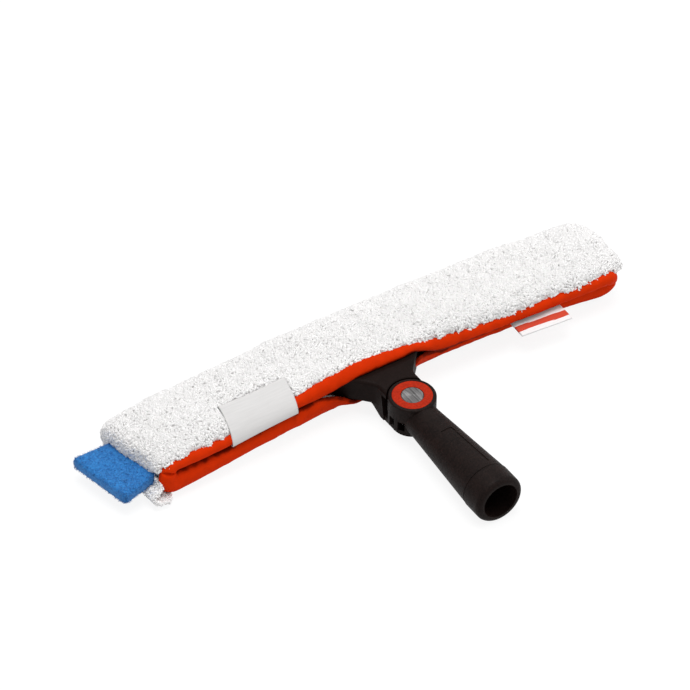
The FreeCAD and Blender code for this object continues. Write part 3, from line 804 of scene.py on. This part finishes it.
@dataclass(frozen=True)
class Binding:
    """Red tape round the slit: one loop of two padded lips that turn into each other at both ends."""

    form: SleeveForm
    finish: WovenTape
    back: float = 0.9
    fullness: float = 0.85
    end_crease: float = 0.6
    crease_at: float = 0.6
    crease_width: float = 0.05
    end_square: float = 0.85
    lump: float = 0.28
    lump_size: float = 7.0
    wrinkle: float = 0.22
    wrinkle_size: float = 3.2
    wrinkle_stretch: Triple = (1.0, 0.4, 0.4)
    # fold and its width: painted shade along the slit edges, stronger and wider where the slit is nearly shut
    fold: float = 0.5
    slit_shade_width: float = 0.1
    shut_from: float = 30.0
    shut_to: float = 120.0
    shut_run: float = 20.0
    shut_slit_shade: float = 0.35
    shut_slit_shade_width: float = 0.14
    lip_stations: int = 320
    turn_stations: int = 44
    around: int = 30

    def edges(self) -> Edges:
        """The loop's two edges and its roll.

        The upper lip runs from left to right and the lower one back. Between them both edges swing half round
        the end of the slit, while their reach and their distance from it ease from one lip's to the other's.

        Returns:
            The slit edge (n, 3), the seam edge (n, 3) and the roll's depth (n).
        """
        form = self.form
        x = np.linspace(form.turn_left, form.turn_right, self.lip_stations)
        lips = {lip: (form.slit_edge(x, lip), form.seam(x, lip), form.bulge(x, lip)) for lip in Lip}
        upper, lower = lips[Lip.UPPER], tuple(a[::-1] for a in lips[Lip.LOWER])
        swing = np.linspace(0.0, np.pi, self.turn_stations + 2)[1:-1]
        right = self.turned(upper, lower, swing)
        left = self.turned(lower, upper, swing + np.pi)
        return tuple(np.concatenate(parts) for parts in zip(upper, right, lower, left))

    def turned(self, start: Edges, end: Edges, angle: Array) -> Edges:
        """One end of the loop, between the last station of one lip and the first of the other.

        Args:
            start: Slit edge, seam edge and roll of the lip that comes in.
            end: The same of the lip that goes out.
            angle: Direction from the slit's end, 0 being up and a quarter turn towards +x.

        Returns:
            Slit edge, seam edge and roll of the turn.
        """
        share = ease((angle - angle[0]) / (angle[-1] - angle[0]))
        turn = [np.sign(f) * np.abs(f) ** self.end_square for f in (np.sin(angle), np.cos(angle))]
        level = 0.5 * (start[0][-1, 2] + end[0][0, 2])
        made = []
        for a, b in ((start[edge][-1], end[edge][0]) for edge in (0, 1)):
            away = blend(abs(a[2] - level), abs(b[2] - level), share)
            reach = blend(a[1], b[1], share)
            made.append(np.stack([a[0] + away * turn[0], reach, level + away * turn[1]], -1))
        tuck = 1.0 - self.end_crease * bell((share - self.crease_at) / self.crease_width)
        return made[0], made[1], blend(start[2][-1], end[2][0], share) * tuck

    def forward(self, slit: Array, seam: Array) -> tuple[Array, Array]:
        """Directions from slit to seam and outwards, at each station."""
        across = seam - slit
        middle = 0.5 * (seam + slit)
        path = np.roll(middle, -1, 0) - np.roll(middle, 1, 0)
        out = unit(np.cross(path, across))
        return across, out * -np.sign(out[:, 1:2])

    def lip_points(self) -> Array:
        """The tape's surface: a rounded D at each station.

        From the slit to the seam and back, the place across is (1 - cos t) / 2. The front stands out by the
        roll times sin(t) to the power of the fullness, and the back lies in by a fixed depth. Soft lumps and
        wrinkles along the lip crease the roll.

        Returns:
            Points in x, reach and height, (stations, around, 3).
        """
        slit, seam, roll = self.edges()
        across, out = self.forward(slit, seam)
        t = circle(self.around)
        place = 0.5 - 0.5 * np.cos(t)
        front = np.clip(np.sin(t), 0.0, 1.0) ** self.fullness
        behind = self.back * np.clip(-np.sin(t), 0.0, 1.0)
        points = slit[:, None] + across[:, None] * place[None, :, None]
        long = points * np.array(self.wrinkle_stretch)
        crease = self.lump * lumps(points, self.lump_size, 11)
        crease = crease + self.wrinkle * lumps(long, self.wrinkle_size, 12)
        stand = roll[:, None] * front[None] - behind[None] + crease * front[None]
        return points + out[:, None] * stand[..., None]

    def build(self) -> Piece:
        """Make the tape, with painted shade stored along its slit edges as the fold value: it is wider and
        deeper where the slit is nearly shut.
        """
        points = self.lip_points()
        faces = [grid_faces(*points.shape[:2], wrap_rows=True, wrap_columns=True)[:, ::-1]]
        tape = make_piece("binding_tape", points, faces, self.finish.material())
        place = 0.5 - 0.5 * np.cos(circle(self.around))
        x = points[:, 0, 0]
        shut = ease((x - self.shut_from) / self.shut_run) * ease((self.shut_to - x) / self.shut_run)
        strength, width = self.fold + self.shut_slit_shade * shut, self.slit_shade_width + self.shut_slit_shade_width * shut
        # painted shade along the slit edges
        give_values(tape, "fold", strength[:, None] * bell(place[None] / width[:, None]))
        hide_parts("sleeve_binding")
        return tape


@dataclass(frozen=True)
class Fleece:
    """The looped-pile sleeve: a soft body and the yarn loops that stand on it."""

    form: SleeveForm
    label: CareLabel
    finish: LoopedPile
    stations: int = 250
    around: int = 150
    left_near: float = 167.5
    left_far: float = 175.5
    right_end: float = 182.5
    skew_start: float = 32.0
    skew_run: float = 40.0
    left_toe: float = 177.0
    toe_top: float = -5.0
    toe_fade: float = 5.0
    end_droop: float = 0.5
    droop_height: float = 3.0
    droop_spread: float = 5.0
    left_powers: tuple[float, float] = (30.0, 7.0)
    right_powers: tuple[float, float] = (13.0, 10.0)
    end_share: float = 0.12
    far_round: float = 14.0
    shoulder: float = 9.0
    swollen: float = -0.2
    sole: float = 1.6
    swells: tuple[tuple[float, float], ...] = ((1.1, 26.0), (0.7, 10.0), (0.3, 3.6))
    underside: float = -0.7
    press: float = 0.2
    mouth_least: float = 2.5
    mouth_depth: float = 14.0
    label_dent: float = 2.4
    dent_beside: float = 2.0
    dent_before: float = 1.5
    dent_run: float = 3.0
    dent_above: float = 2.0
    hem: float = 4.5
    toe: float = 13.5
    toe_end: float = -155.0
    toe_run: float = 9.0
    pile: float = 0.85
    loop_width: float = 1.8
    yarn: float = 0.74
    clump: float = 3.4
    loop_count: int = 44000
    yarn_sides: int = 4
    pieces: int = 9
    fringe: float = 2.1
    fringe_run: float = 0.6
    tuft: float = 2.7
    end_tufts: float = 0.5
    end_tufts_from: float = -166.0
    end_tufts_run: float = 8.0
    low_band: tuple[float, float] = (10.2, 12.5)
    low_middle: float = 12.0
    low_half: float = 158.0
    low_share: float = 0.35
    bound_band: tuple[float, float] = (12.3, 14.8)
    bound_past: tuple[float, float] = (6.0, 5.0)
    controls: int = 15
    # the body's stored depth picks the painted pale tone of the pile's depth
    body_depth: float = 0.35
    floor_gap: float = 0.15
    seed: int = 4

    def section(self, x: Array) -> Array:
        """Control points of the sleeve's section.

        They go from the upper seam over the shoulder and the crown, round the far edge as half an ellipse,
        back along the flat underside to the lower seam, and across the slit behind the binding.

        Args:
            x: Places along the bar.

        Returns:
            Reach and height, (n, 15, 2).
        """
        form = self.form
        upper, lower = form.seam(x, Lip.UPPER), form.seam(x, Lip.LOWER)
        slit_up, slit_low = form.slit_edge(x, Lip.UPPER), form.slit_edge(x, Lip.LOWER)
        top, far = form.crown_height(x) + self.swollen, form.far_reach(x) + self.swollen
        inside = self.mouth_least + self.mouth_depth * np.sqrt(form.opening(x))
        bottom = np.full_like(x, form.bottom + self.sole)
        toe = self.toe * ease((self.toe_end - x) / self.toe_run)
        middle, tall = 0.5 * (top + bottom), 0.5 * (top - bottom)
        bend = self.far_round * np.sqrt(0.5)
        centre = far - self.far_round
        pairs = [
            (upper[:, 1] + 0.9, upper[:, 2] - 0.9),
            (upper[:, 1] + 1.4, blend(upper[:, 2], top, 0.55)),
            (upper[:, 1] + self.shoulder, top - 0.5),
            (upper[:, 1] + 2.4 * self.shoulder, top + 0.3),
            (centre, top - 0.6),
            (centre + bend, middle + tall * np.sqrt(0.5)),
            (far, middle),
            (centre + bend, middle - tall * np.sqrt(0.5)),
            (centre, bottom),
            (0.5 * (centre + lower[:, 1]) + 4.0, bottom),
            (lower[:, 1] + self.shoulder - toe, bottom),
            (lower[:, 1] + self.hem - toe, blend(lower[:, 2], bottom, 0.62)),
            (lower[:, 1] + 0.6, lower[:, 2] + 0.6),
            (slit_low[:, 1] + inside, slit_low[:, 2] - 0.5),
            (slit_up[:, 1] + inside, slit_up[:, 2] + 0.5),
        ]
        return np.stack([np.stack(pair, -1) for pair in pairs], 1)

    def ends(self) -> tuple[Array, Array]:
        """Stations along the sleeve, from -1 to 1, and how much of its section is left at each.

        The section is whole in the middle. Near an end its depth and its height shrink as superellipses,
        place^p + share^p = 1, each with its own power. The stations crowd together there.

        Returns:
            Places, and the shares of depth and height, (n, 2).
        """
        closed = []
        for power in (self.left_powers[1], self.right_powers[1]):
            left_over = (1.0 - (1.0 - self.end_share) ** power) ** (1.0 / power)
            closing = left_over * np.sin(np.linspace(0.5 * np.pi, 0.03, 40))
            closed.append((1.0 - closing ** power) ** (1.0 / power))
        middle = np.linspace(-1.0 + self.end_share, 1.0 - self.end_share, self.stations)[1:-1]
        place = np.concatenate([-closed[0][::-1], middle, closed[1]])
        powers = np.where(place[:, None] < 0, self.left_powers, self.right_powers)
        return place, (1.0 - np.abs(place[:, None]) ** powers) ** (1.0 / powers)

    def body_points(self) -> tuple[Array, Array]:
        """The soft body's surface.

        Each section is a closed smooth curve through its control points: between two of them it is the cubic
        whose slopes are those of the neighbours. It shrinks towards its middle at the ends, the left end is
        cut on the skew, and lumps of three sizes move it a little. The care label presses it down.

        Returns:
            Points (stations, around, 3) in x, reach and height, and the places round the section, 0 to 15.
        """
        place, share = self.ends()
        rough_x = place * np.where(place < 0, self.left_far, self.right_end)
        control = self.section(rough_x)
        count = control.shape[1]
        t = np.linspace(0.0, count, self.around, endpoint=False)
        i, f = np.floor(t).astype(int), t - np.floor(t)
        weights = np.zeros((self.around, count))
        cubic = (-0.5 * f + f ** 2 - 0.5 * f ** 3, 1 - 2.5 * f ** 2 + 1.5 * f ** 3,
                 0.5 * f + 2 * f ** 2 - 1.5 * f ** 3, -0.5 * f ** 2 + 0.5 * f ** 3)
        for step, weight in zip((-1, 0, 1, 2), cubic):
            np.add.at(weights, (np.arange(self.around), (i + step) % count), weight)
        section = np.einsum("tk,xkc->xtc", weights, control)
        across, upright = control[:, 0, 0] + control[:, 6, 0], control[:, 3, 1] + control[:, 9, 1]
        core = 0.5 * np.stack([across, upright], -1)
        section = core[:, None] + (section - core[:, None]) * share[:, None]
        left = blend(self.left_near, self.left_far, ease((section[..., 0] - self.skew_start) / self.skew_run))
        height = section[..., 1]
        left = left + self.end_droop * bell((height - self.droop_height) / self.droop_spread)
        left = blend(left, np.maximum(left, self.left_toe), ease((self.toe_top - height) / self.toe_fade))
        x = place[:, None] * np.where(place[:, None] < 0, left, self.right_end)
        points = np.concatenate([x[..., None], section], -1)
        normal = self.normals(points)
        pressed = np.where(normal[..., 2] < self.underside, self.press, 1.0)
        swell = layered(points, self.swells, 1) * pressed - self.label_dent * self.under_label(points)
        points = points + normal * swell[..., None]
        return points, t

    def under_label(self, points: Array) -> Array:
        """1 where the care label presses the pile down, easing to 0 round it."""
        low, high = self.label.span()
        along = points[..., 0] - self.label.skew * (points[..., 1] - self.form.front)
        beside = np.minimum(along - low, high - along)
        before = self.label.top_reach - points[..., 1]
        pressed = ease((beside + self.dent_beside) / self.dent_run)
        pressed = pressed * ease((before + self.dent_before) / self.dent_run)
        return pressed * (points[..., 2] > self.dent_above)

    def normals(self, points: Array) -> Array:
        """Outward directions of a grid that is closed round its second direction."""
        along = np.gradient(points, axis=0)
        around = np.roll(points, -1, 1) - np.roll(points, 1, 1)
        return unit(np.cross(along, around))

    def loops(self, points: Array, t: Array) -> tuple[Array, Array]:
        """Yarn loops spread over the pile.

        Feet are spread evenly over the body's area, with none behind the binding or under the label. A loop
        goes up from one foot, over, and down to the other, with a ring of yarn at four places along it. Its
        direction, lean and size are random. Loops hang over the upper seam as a fringe, stand higher at the
        left end, and lie low under the lower lip.

        Args:
            points: The body's grid.
            t: Places round the section.

        Returns:
            Vertices (loops, n, 3) and each vertex's depth in the pile (loops, n).
        """
        chance = np.random.default_rng(self.seed)
        corner = points[:-1]
        area = np.linalg.norm(np.cross(points[1:] - corner, np.roll(corner, -1, 1) - corner), axis=-1)
        tape = (self.form.turn_left - self.bound_past[0], self.form.turn_right + self.bound_past[1])
        bound = within(t[None], self.bound_band) & within(corner[..., 0], tape)
        area = np.where(bound, 0.0, area) * (1.0 - (self.under_label(corner) > 0.5))
        total = np.cumsum(area.ravel())
        wanted = (np.arange(self.loop_count) + chance.random(self.loop_count)) / self.loop_count * total[-1]
        row, column = np.divmod(np.minimum(np.searchsorted(total, wanted), area.size - 1), area.shape[1])
        beside = (column + 1) % area.shape[1]
        a, b = chance.random((2, self.loop_count, 1))
        feet = []
        for grid in (points, self.normals(points)):
            here = blend(grid[row, column], grid[row + 1, column], a)
            feet.append(blend(here, blend(grid[row, beside], grid[row + 1, beside], a), b))
        base, up = feet[0], unit(feet[1])
        spin = unit(np.cross(up, unit(chance.normal(size=base.shape))))
        side = np.cross(up, spin)
        clump = 0.9 + 0.3 * lumps(base, self.clump, 6)[:, None]
        tall = self.pile * clump * chance.uniform(0.8, 1.2, (self.loop_count, 1))
        tall = tall * (1.0 + self.end_tufts * ease((self.end_tufts_from - base[:, :1]) / self.end_tufts_run))
        low = within(t[column], self.low_band) & (np.abs(base[:, 0] - self.low_middle) < self.low_half)
        tall = np.where(low[:, None], self.low_share, 1.0) * tall
        wide = self.loop_width * chance.uniform(0.6, 1.2, (self.loop_count, 1))
        half_way = 0.5 * self.controls
        from_seam = (t[column] + half_way) % self.controls - half_way
        edge = bell(from_seam / self.fringe_run)[:, None]
        lean = side * chance.normal(0.0, 0.4, (self.loop_count, 1))
        tuft = np.clip(0.6 + 1.2 * lumps(base, self.tuft, 7), 0.0, 1.5)[:, None]
        lean = lean + edge * tuft * self.fringe * np.array([0.0, -1.0, -0.25])
        across, rise = np.array([-0.35, -0.5, 0.5, 0.35]), np.array([-0.25, 0.75, 1.0, -0.25])
        sway, facing = np.array([0.0, 0.8, 1.0, 0.0])[:, None], np.array([0.1, 0.9, 0.9, 0.1])[:, None]
        path = base[:, None] + spin[:, None] * (wide * across)[..., None]
        path = path + up[:, None] * (tall * rise)[..., None] + lean[:, None] * sway
        thick = self.yarn * chance.uniform(0.8, 1.25, (self.loop_count, 1, 1, 1))
        turn = circle(self.yarn_sides)[:, None]
        outward = unit(spin[:, None] * across[:, None] + up[:, None] * facing)
        ring = np.cos(turn) * outward[:, :, None] + np.sin(turn) * side[:, None, None]
        tubes = (path[:, :, None] + thick * ring).reshape(self.loop_count, -1, 3)
        vertices = np.concatenate([tubes, path[:, [0, 3]]], 1)
        vertices[..., 2] = np.maximum(vertices[..., 2], self.form.bottom + self.floor_gap)
        # depth runs from the feet to the loop tops; the yarn finish paints the feet pale as painted light and
        # the tops darker as painted shade
        depth = np.concatenate([np.repeat([0.1, 0.8, 1.0, 0.1], self.yarn_sides), [0.1, 0.1]])
        return vertices, depth[None] * chance.uniform(0.75, 1.05, (self.loop_count, 1))

    def build(self) -> Piece:
        """Make the soft body and its pile."""
        points, t = self.body_points()
        material = self.finish.material()
        poles = points[[0, -1]].mean(1)
        flat = np.concatenate([points.reshape(-1, 3), poles])
        faces = tube_faces(*points.shape[:2])
        body = make_piece("fleece_body", flat, faces, material)
        # the body takes the painted pale tone of the pile's depth
        give_values(body, "depth", np.full(len(flat), self.body_depth))
        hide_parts("sleeve_fleece")
        vertices, depth = self.loops(points, t)
        order = np.random.default_rng(self.seed + 1).permutation(len(vertices))
        for number, part in enumerate(np.array_split(order, self.pieces), 1):
            many = repeated(tube_faces(4, self.yarn_sides), vertices.shape[1], len(part))
            pile = make_piece(f"fleece_pile_{number}", vertices[part], many, material)
            give_values(pile, "depth", depth[part])
        return body


@dataclass(frozen=True)
class ScrubPad:
    """Blue felt pad that is sewn into the sleeve's left end."""

    finish: CoarseFelt
    corner_power: float = 16.0
    corner_pull: float = 0.07
    skew: float = 9.0
    near_grow: float = 2.8
    near_taper: float = 9.0
    sewn_in: float = 11.0
    edge_power: float = 12.0
    columns: int = 90
    rows: int = 120
    matting: float = 0.3
    mats: tuple[tuple[float, float], ...] = ((0.6, 2.2), (0.5, 0.9), (0.8, 8.0))
    body_depth: float = 0.4
    fibre_count: int = 5000
    fibre_length: float = 1.5
    fibre_radius: float = 0.1
    seed: int = 9

    def sides(self) -> tuple[Array, Array]:
        """Upper and lower surface of the pad.

        The plan is a square of two parameters pulled in at its corners, each by the other's power, with its
        leading edge on the skew. The thickness falls to nothing at the edges as (1 - |u|^p)^(1/4), so the
        sides stand nearly upright. Matted lumps roughen it.

        Returns:
            Two grids of points, (columns, rows, 3).
        """
        low, high = np.array(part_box("scrub_pad")) / MM - HINGE
        u = np.sin(np.linspace(-0.5, 0.5, self.columns) * np.pi)[:, None]
        v = np.sin(np.linspace(-0.5, 0.5, self.rows) * np.pi)[None, :]
        lead = low[0] + self.skew * (0.5 - 0.5 * v)
        pull_u, pull_v = (self.corner_pull * np.abs(w) ** self.corner_power for w in (u, v))
        x = blend(lead, high[0] + self.sewn_in, 0.5 + 0.5 * u * (1.0 - pull_v))
        near = low[1] - self.near_grow + self.near_taper * (0.5 + 0.5 * u)
        y = blend(near, high[1], 0.5 + 0.5 * v * (1.0 - 0.5 * pull_u))
        thick = ((1.0 - np.abs(u) ** self.edge_power) * (1.0 - np.abs(v) ** self.edge_power)) ** 0.25
        middle, half = 0.5 * (low[2] + high[2]), 0.5 * (high[2] - low[2]) - self.matting
        grids = []
        for sign in (1.0, -1.0):
            points = gathered(x, y, middle + sign * half * thick)
            points[..., 2] += self.matting * layered(points, self.mats, 21) * thick
            grids.append(points)
        return grids[0], grids[1]

    def build(self) -> None:
        """Make the pad and its loose fibres."""
        upper, lower = self.sides()
        columns, rows = upper.shape[:2]
        number = np.arange(columns * rows).reshape(columns, rows)
        rim = np.zeros((columns, rows), bool)
        rim[[0, -1]] = rim[:, [0, -1]] = True
        below = np.where(rim, number, columns * rows + np.cumsum(~rim).reshape(columns, rows) - 1)
        quads = grid_faces(columns, rows)
        points = np.concatenate([upper.reshape(-1, 3), lower[~rim]])
        faces = [np.concatenate([quads[:, ::-1], below.ravel()[quads]])]
        material = self.finish.material()
        pad = make_piece("felt_pad", points, faces, material)
        give_values(pad, "depth", np.full(len(points), self.body_depth))
        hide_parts("scrub_pad")
        self.fibres(upper, lower, material)

    def fibres(self, upper: Array, lower: Array, material: Material) -> None:
        """Loose fibres: bent spikes of two rings and a tip, lying nearly flat on the felt.

        Args:
            upper: The pad's upper surface.
            lower: Its lower surface.
            material: The finish.
        """
        chance = np.random.default_rng(self.seed)
        grids = np.stack([upper, lower])
        side = chance.integers(0, 2, self.fibre_count)
        i = chance.integers(1, upper.shape[0] - 1, self.fibre_count)
        j = chance.integers(1, upper.shape[1] - 1, self.fibre_count)
        base = grids[side, i, j]
        middle = grids.mean((0, 1, 2))
        away = unit((base - middle) * np.array([0.25, 0.25, 1.0]))
        flat = unit(np.cross(away, chance.normal(size=base.shape)))
        bend = unit(np.cross(flat, away))
        long = self.fibre_length * chance.uniform(0.5, 1.5, (self.fibre_count, 1))
        start = base - 0.15 * away
        knee = base + long * (0.5 * flat + 0.28 * away)
        tip = base + long * (0.9 * flat + 0.25 * away + 0.2 * bend)
        turn = circle(3)[:, None]
        ring = self.fibre_radius * (np.cos(turn) * away[:, None] + np.sin(turn) * bend[:, None])
        rings = [start[:, None] + ring, knee[:, None] + ring]
        points = np.concatenate([*rings, tip[:, None], start[:, None]], 1)
        count = points.shape[1]
        corner, beside = np.arange(3), np.roll(np.arange(3), -1)
        sides = grid_faces(2, 3, wrap_columns=True)
        point = np.stack([np.full(3, 6), 3 + corner, 3 + beside], -1)
        root = np.stack([np.full(3, 7), beside, corner], -1)
        many = repeated((sides, point, root), count, self.fibre_count)
        piece = make_piece("felt_fibres", points, many, material)
        give_values(piece, "depth", np.repeat(chance.uniform(0.4, 1.0, self.fibre_count), count))


class Mouldings:
    """The rigid pieces, which keep their CAD meshes."""

    def dress(self) -> None:
        """Give every rigid node its finish."""
        black = (0.0090, 0.0050, 0.0042)
        # the handle's strong specks are partly painted glints of its grain
        handle = MouldedPlastic("handle_grain", black, 0.5, fleck_and_glint=0.5, shine=0.07)
        bar = MouldedPlastic("bar_satin", black, 0.5, grain=0.6, grain_depth=0.03, shine=0.05)
        ring = MouldedPlastic("ring_red", (0.38, 0.016, 0.001), 0.4, grain=0.8, grain_depth=0.015, shine=0.1)
        bush = MouldedPlastic("bush_nylon", (0.75, 0.74, 0.70), 0.4, grain_depth=0.01)
        steel = RolledSteel("zinc_steel", (0.55, 0.55, 0.56), 0.34)
        spring = RolledSteel("spring_steel", (0.42, 0.42, 0.44), 0.28)
        pin = TurnedMetal("pin_turned", (0.14, 0.137, 0.137), 0.36, HINGE[1])
        finishes = {
            "handle": handle, "t_bar": bar, "hinge_ring": ring, "pin_bush": bush, "hinge_pin": pin,
            "pin_washer": steel, "pin_screw": steel, "spring_washer": spring, "detent_spring": spring,
        }
        made = {finish: finish.material() for finish in dict.fromkeys(finishes.values())}
        for node, finish in finishes.items():
            mesh = frame["nodes"][node].data
            mesh.materials.clear()
            mesh.materials.append(made[finish])
            log.info("%s: finished as %s", node, finish.name)


@dataclass(frozen=True)
class Stage:
    """Floor, light and camera."""

    azimuth: float = -34.40
    elevation: float = 42.35
    roll: float = 1.53
    distance: float = 6000.0
    lens: float = 499.9
    sensor: float = 36.0
    sight: float = 100.0
    aim: Triple = (-10.2, 159.8, 12.0)
    floor_size: float = 6000.0
    floor_gap: float = 0.05
    floor_matt: float = 0.8
    floor_shade: float = 0.16
    floor_glow: float = 0.87
    ambient: float = 0.55
    key_place: Triple = (-100.0, 200.0, 2600.0)
    key_size: float = 1700.0
    key_power: float = 46.0
    fill_place: Triple = (1800.0, -1200.0, 1400.0)
    fill_size: float = 2000.0
    fill_power: float = 14.0

    def stand(self, data: bpy.types.ID, axes: Sequence[Array], place: Array) -> Piece:
        """Set up a camera or a lamp.

        Args:
            data: The camera or the lamp.
            axes: Its directions to the right, up and back.
            place: Where it stands, in millimetres from the aim.

        Returns:
            The object.
        """
        matrix = np.eye(4)
        matrix[:3, :3] = np.stack(axes, -1)
        matrix[:3, 3] = (np.array(self.aim) + place) * MM
        made = bpy.data.objects.new(data.name, data)
        made.matrix_world = Matrix(matrix.tolist())
        bpy.context.scene.collection.objects.link(made)
        return made

    def camera(self) -> None:
        """Camera at the photograph's angle: its axes follow from azimuth, elevation and roll."""
        turn, tilt, roll = np.radians([self.azimuth, self.elevation, self.roll])
        back = np.array([np.sin(turn) * np.cos(tilt), -np.cos(turn) * np.cos(tilt), np.sin(tilt)])
        right = np.array([np.cos(turn), np.sin(turn), 0.0])
        up = np.cross(back, right)
        across = right * np.cos(roll) + up * np.sin(roll)
        above = up * np.cos(roll) - right * np.sin(roll)
        data = bpy.data.cameras.new("camera")
        data.lens, data.sensor_width, data.clip_end = self.lens, self.sensor, self.sight
        bpy.context.scene.camera = self.stand(data, (across, above, back), back * self.distance)

    def lamp(self, name: str, place: Triple, size: float, power: float) -> None:
        """A square soft lamp that faces the part.

        Args:
            name: The lamp's name.
            place: Where it stands, in millimetres from the aim.
            size: Its side in millimetres.
            power: In watts.
        """
        back = unit(np.array(place))
        right = unit(np.cross([0.0, 0.0, 1.0], back))
        data = bpy.data.lights.new(name, "AREA")
        data.size, data.energy = size * MM, power
        self.stand(data, (right, np.cross(back, right), back), np.array(place))

    def seen(self, tree: bpy.types.NodeTree) -> Socket:
        """1 for rays that show the background: from the camera, off gloss, or through glass."""
        path = add_node(tree, "LightPath").outputs
        total = path["Is Camera Ray"]
        for name in ("Is Glossy Ray", "Is Transmission Ray"):
            node = add_node(tree, "Math", total, path[name])
            node.operation = "MAXIMUM"
            total = node.outputs[0]
        return total

    def world(self) -> None:
        """White to the eye, and an even soft light otherwise."""
        world = bpy.data.worlds.new("studio")
        world.use_nodes = True
        tree = world.node_tree
        light = add_node(tree, "Background", Color=WHITE, Strength=self.ambient)
        white = add_node(tree, "Background", Color=WHITE)
        mix = add_node(tree, "MixShader", self.seen(tree), light.outputs[0], white.outputs[0])
        tree.links.new(mix.outputs[0], tree.nodes["World Output"].inputs["Surface"])
        bpy.context.scene.world = world

    def floor(self) -> None:
        """Pale floor. To the eye it glows a little, so that only its shadows fall below white."""
        half = 0.5 * self.floor_size
        low = CAD_BOX[0][2] / MM - self.floor_gap
        corners = np.array([[-half, -half, low], [half, -half, low], [half, half, low], [-half, half, low]])
        mesh = bpy.data.meshes.new("floor")
        mesh.from_pydata((corners * MM).tolist(), [], [(0, 1, 2, 3)])
        material = bpy.data.materials.new("floor_white")
        material.use_nodes = True
        tree = material.node_tree
        greys = [(grey, grey, grey, 1.0) for grey in (self.floor_matt, self.floor_shade)]
        matt, shade = (add_node(tree, "BsdfDiffuse", Color=grey) for grey in greys)
        glow = add_node(tree, "Emission", Strength=self.floor_glow)
        lit = add_node(tree, "AddShader", shade.outputs[0], glow.outputs[0])
        mix = add_node(tree, "MixShader", self.seen(tree), matt.outputs[0], lit.outputs[0])
        tree.links.new(mix.outputs[0], tree.nodes["Material Output"].inputs["Surface"])
        mesh.materials.append(material)
        floor = bpy.data.objects.new("floor", mesh)
        bpy.context.scene.collection.objects.link(floor)

    def build(self) -> None:
        """Set the stage."""
        bpy.context.scene.view_settings.view_transform = "Standard"
        self.world()
        self.floor()
        self.lamp("key", self.key_place, self.key_size, self.key_power)
        self.lamp("fill", self.fill_place, self.fill_size, self.fill_power)
        self.camera()


def main() -> None:
    """Build every piece in order and report it."""
    logging.basicConfig(level=logging.INFO, format="%(name)s %(message)s")
    form = SleeveForm.from_frame()
    Stage().build()
    Mouldings().dress()
    label = CareLabel(form, SatinRibbon("label_satin", (0.64, 0.63, 0.625), 0.6))
    # the yarn's first colour is the darker painted shade of the loop tops, the second the paler painted light
    # of the depth
    yarn = LoopedPile("fleece_yarn", (0.905, 0.890, 0.884), (0.985, 0.972, 0.967))
    fleece = Fleece(form, label, yarn).build()
    binding = Binding(form, WovenTape("binding_tape", (0.60, 0.028, 0.001))).build()
    ScrubPad(CoarseFelt("pad_felt", (0.012, 0.10, 0.33), (0.036, 0.24, 0.60))).build()
    label.build([binding, fleece])
    ribbon = SatinRibbon("tag_satin", (0.82, 0.81, 0.81), 0.6, stripe=(0.56, 0.06, 0.03))
    SideTag(ribbon).build([binding])


if __name__ == "__main__":
    main()
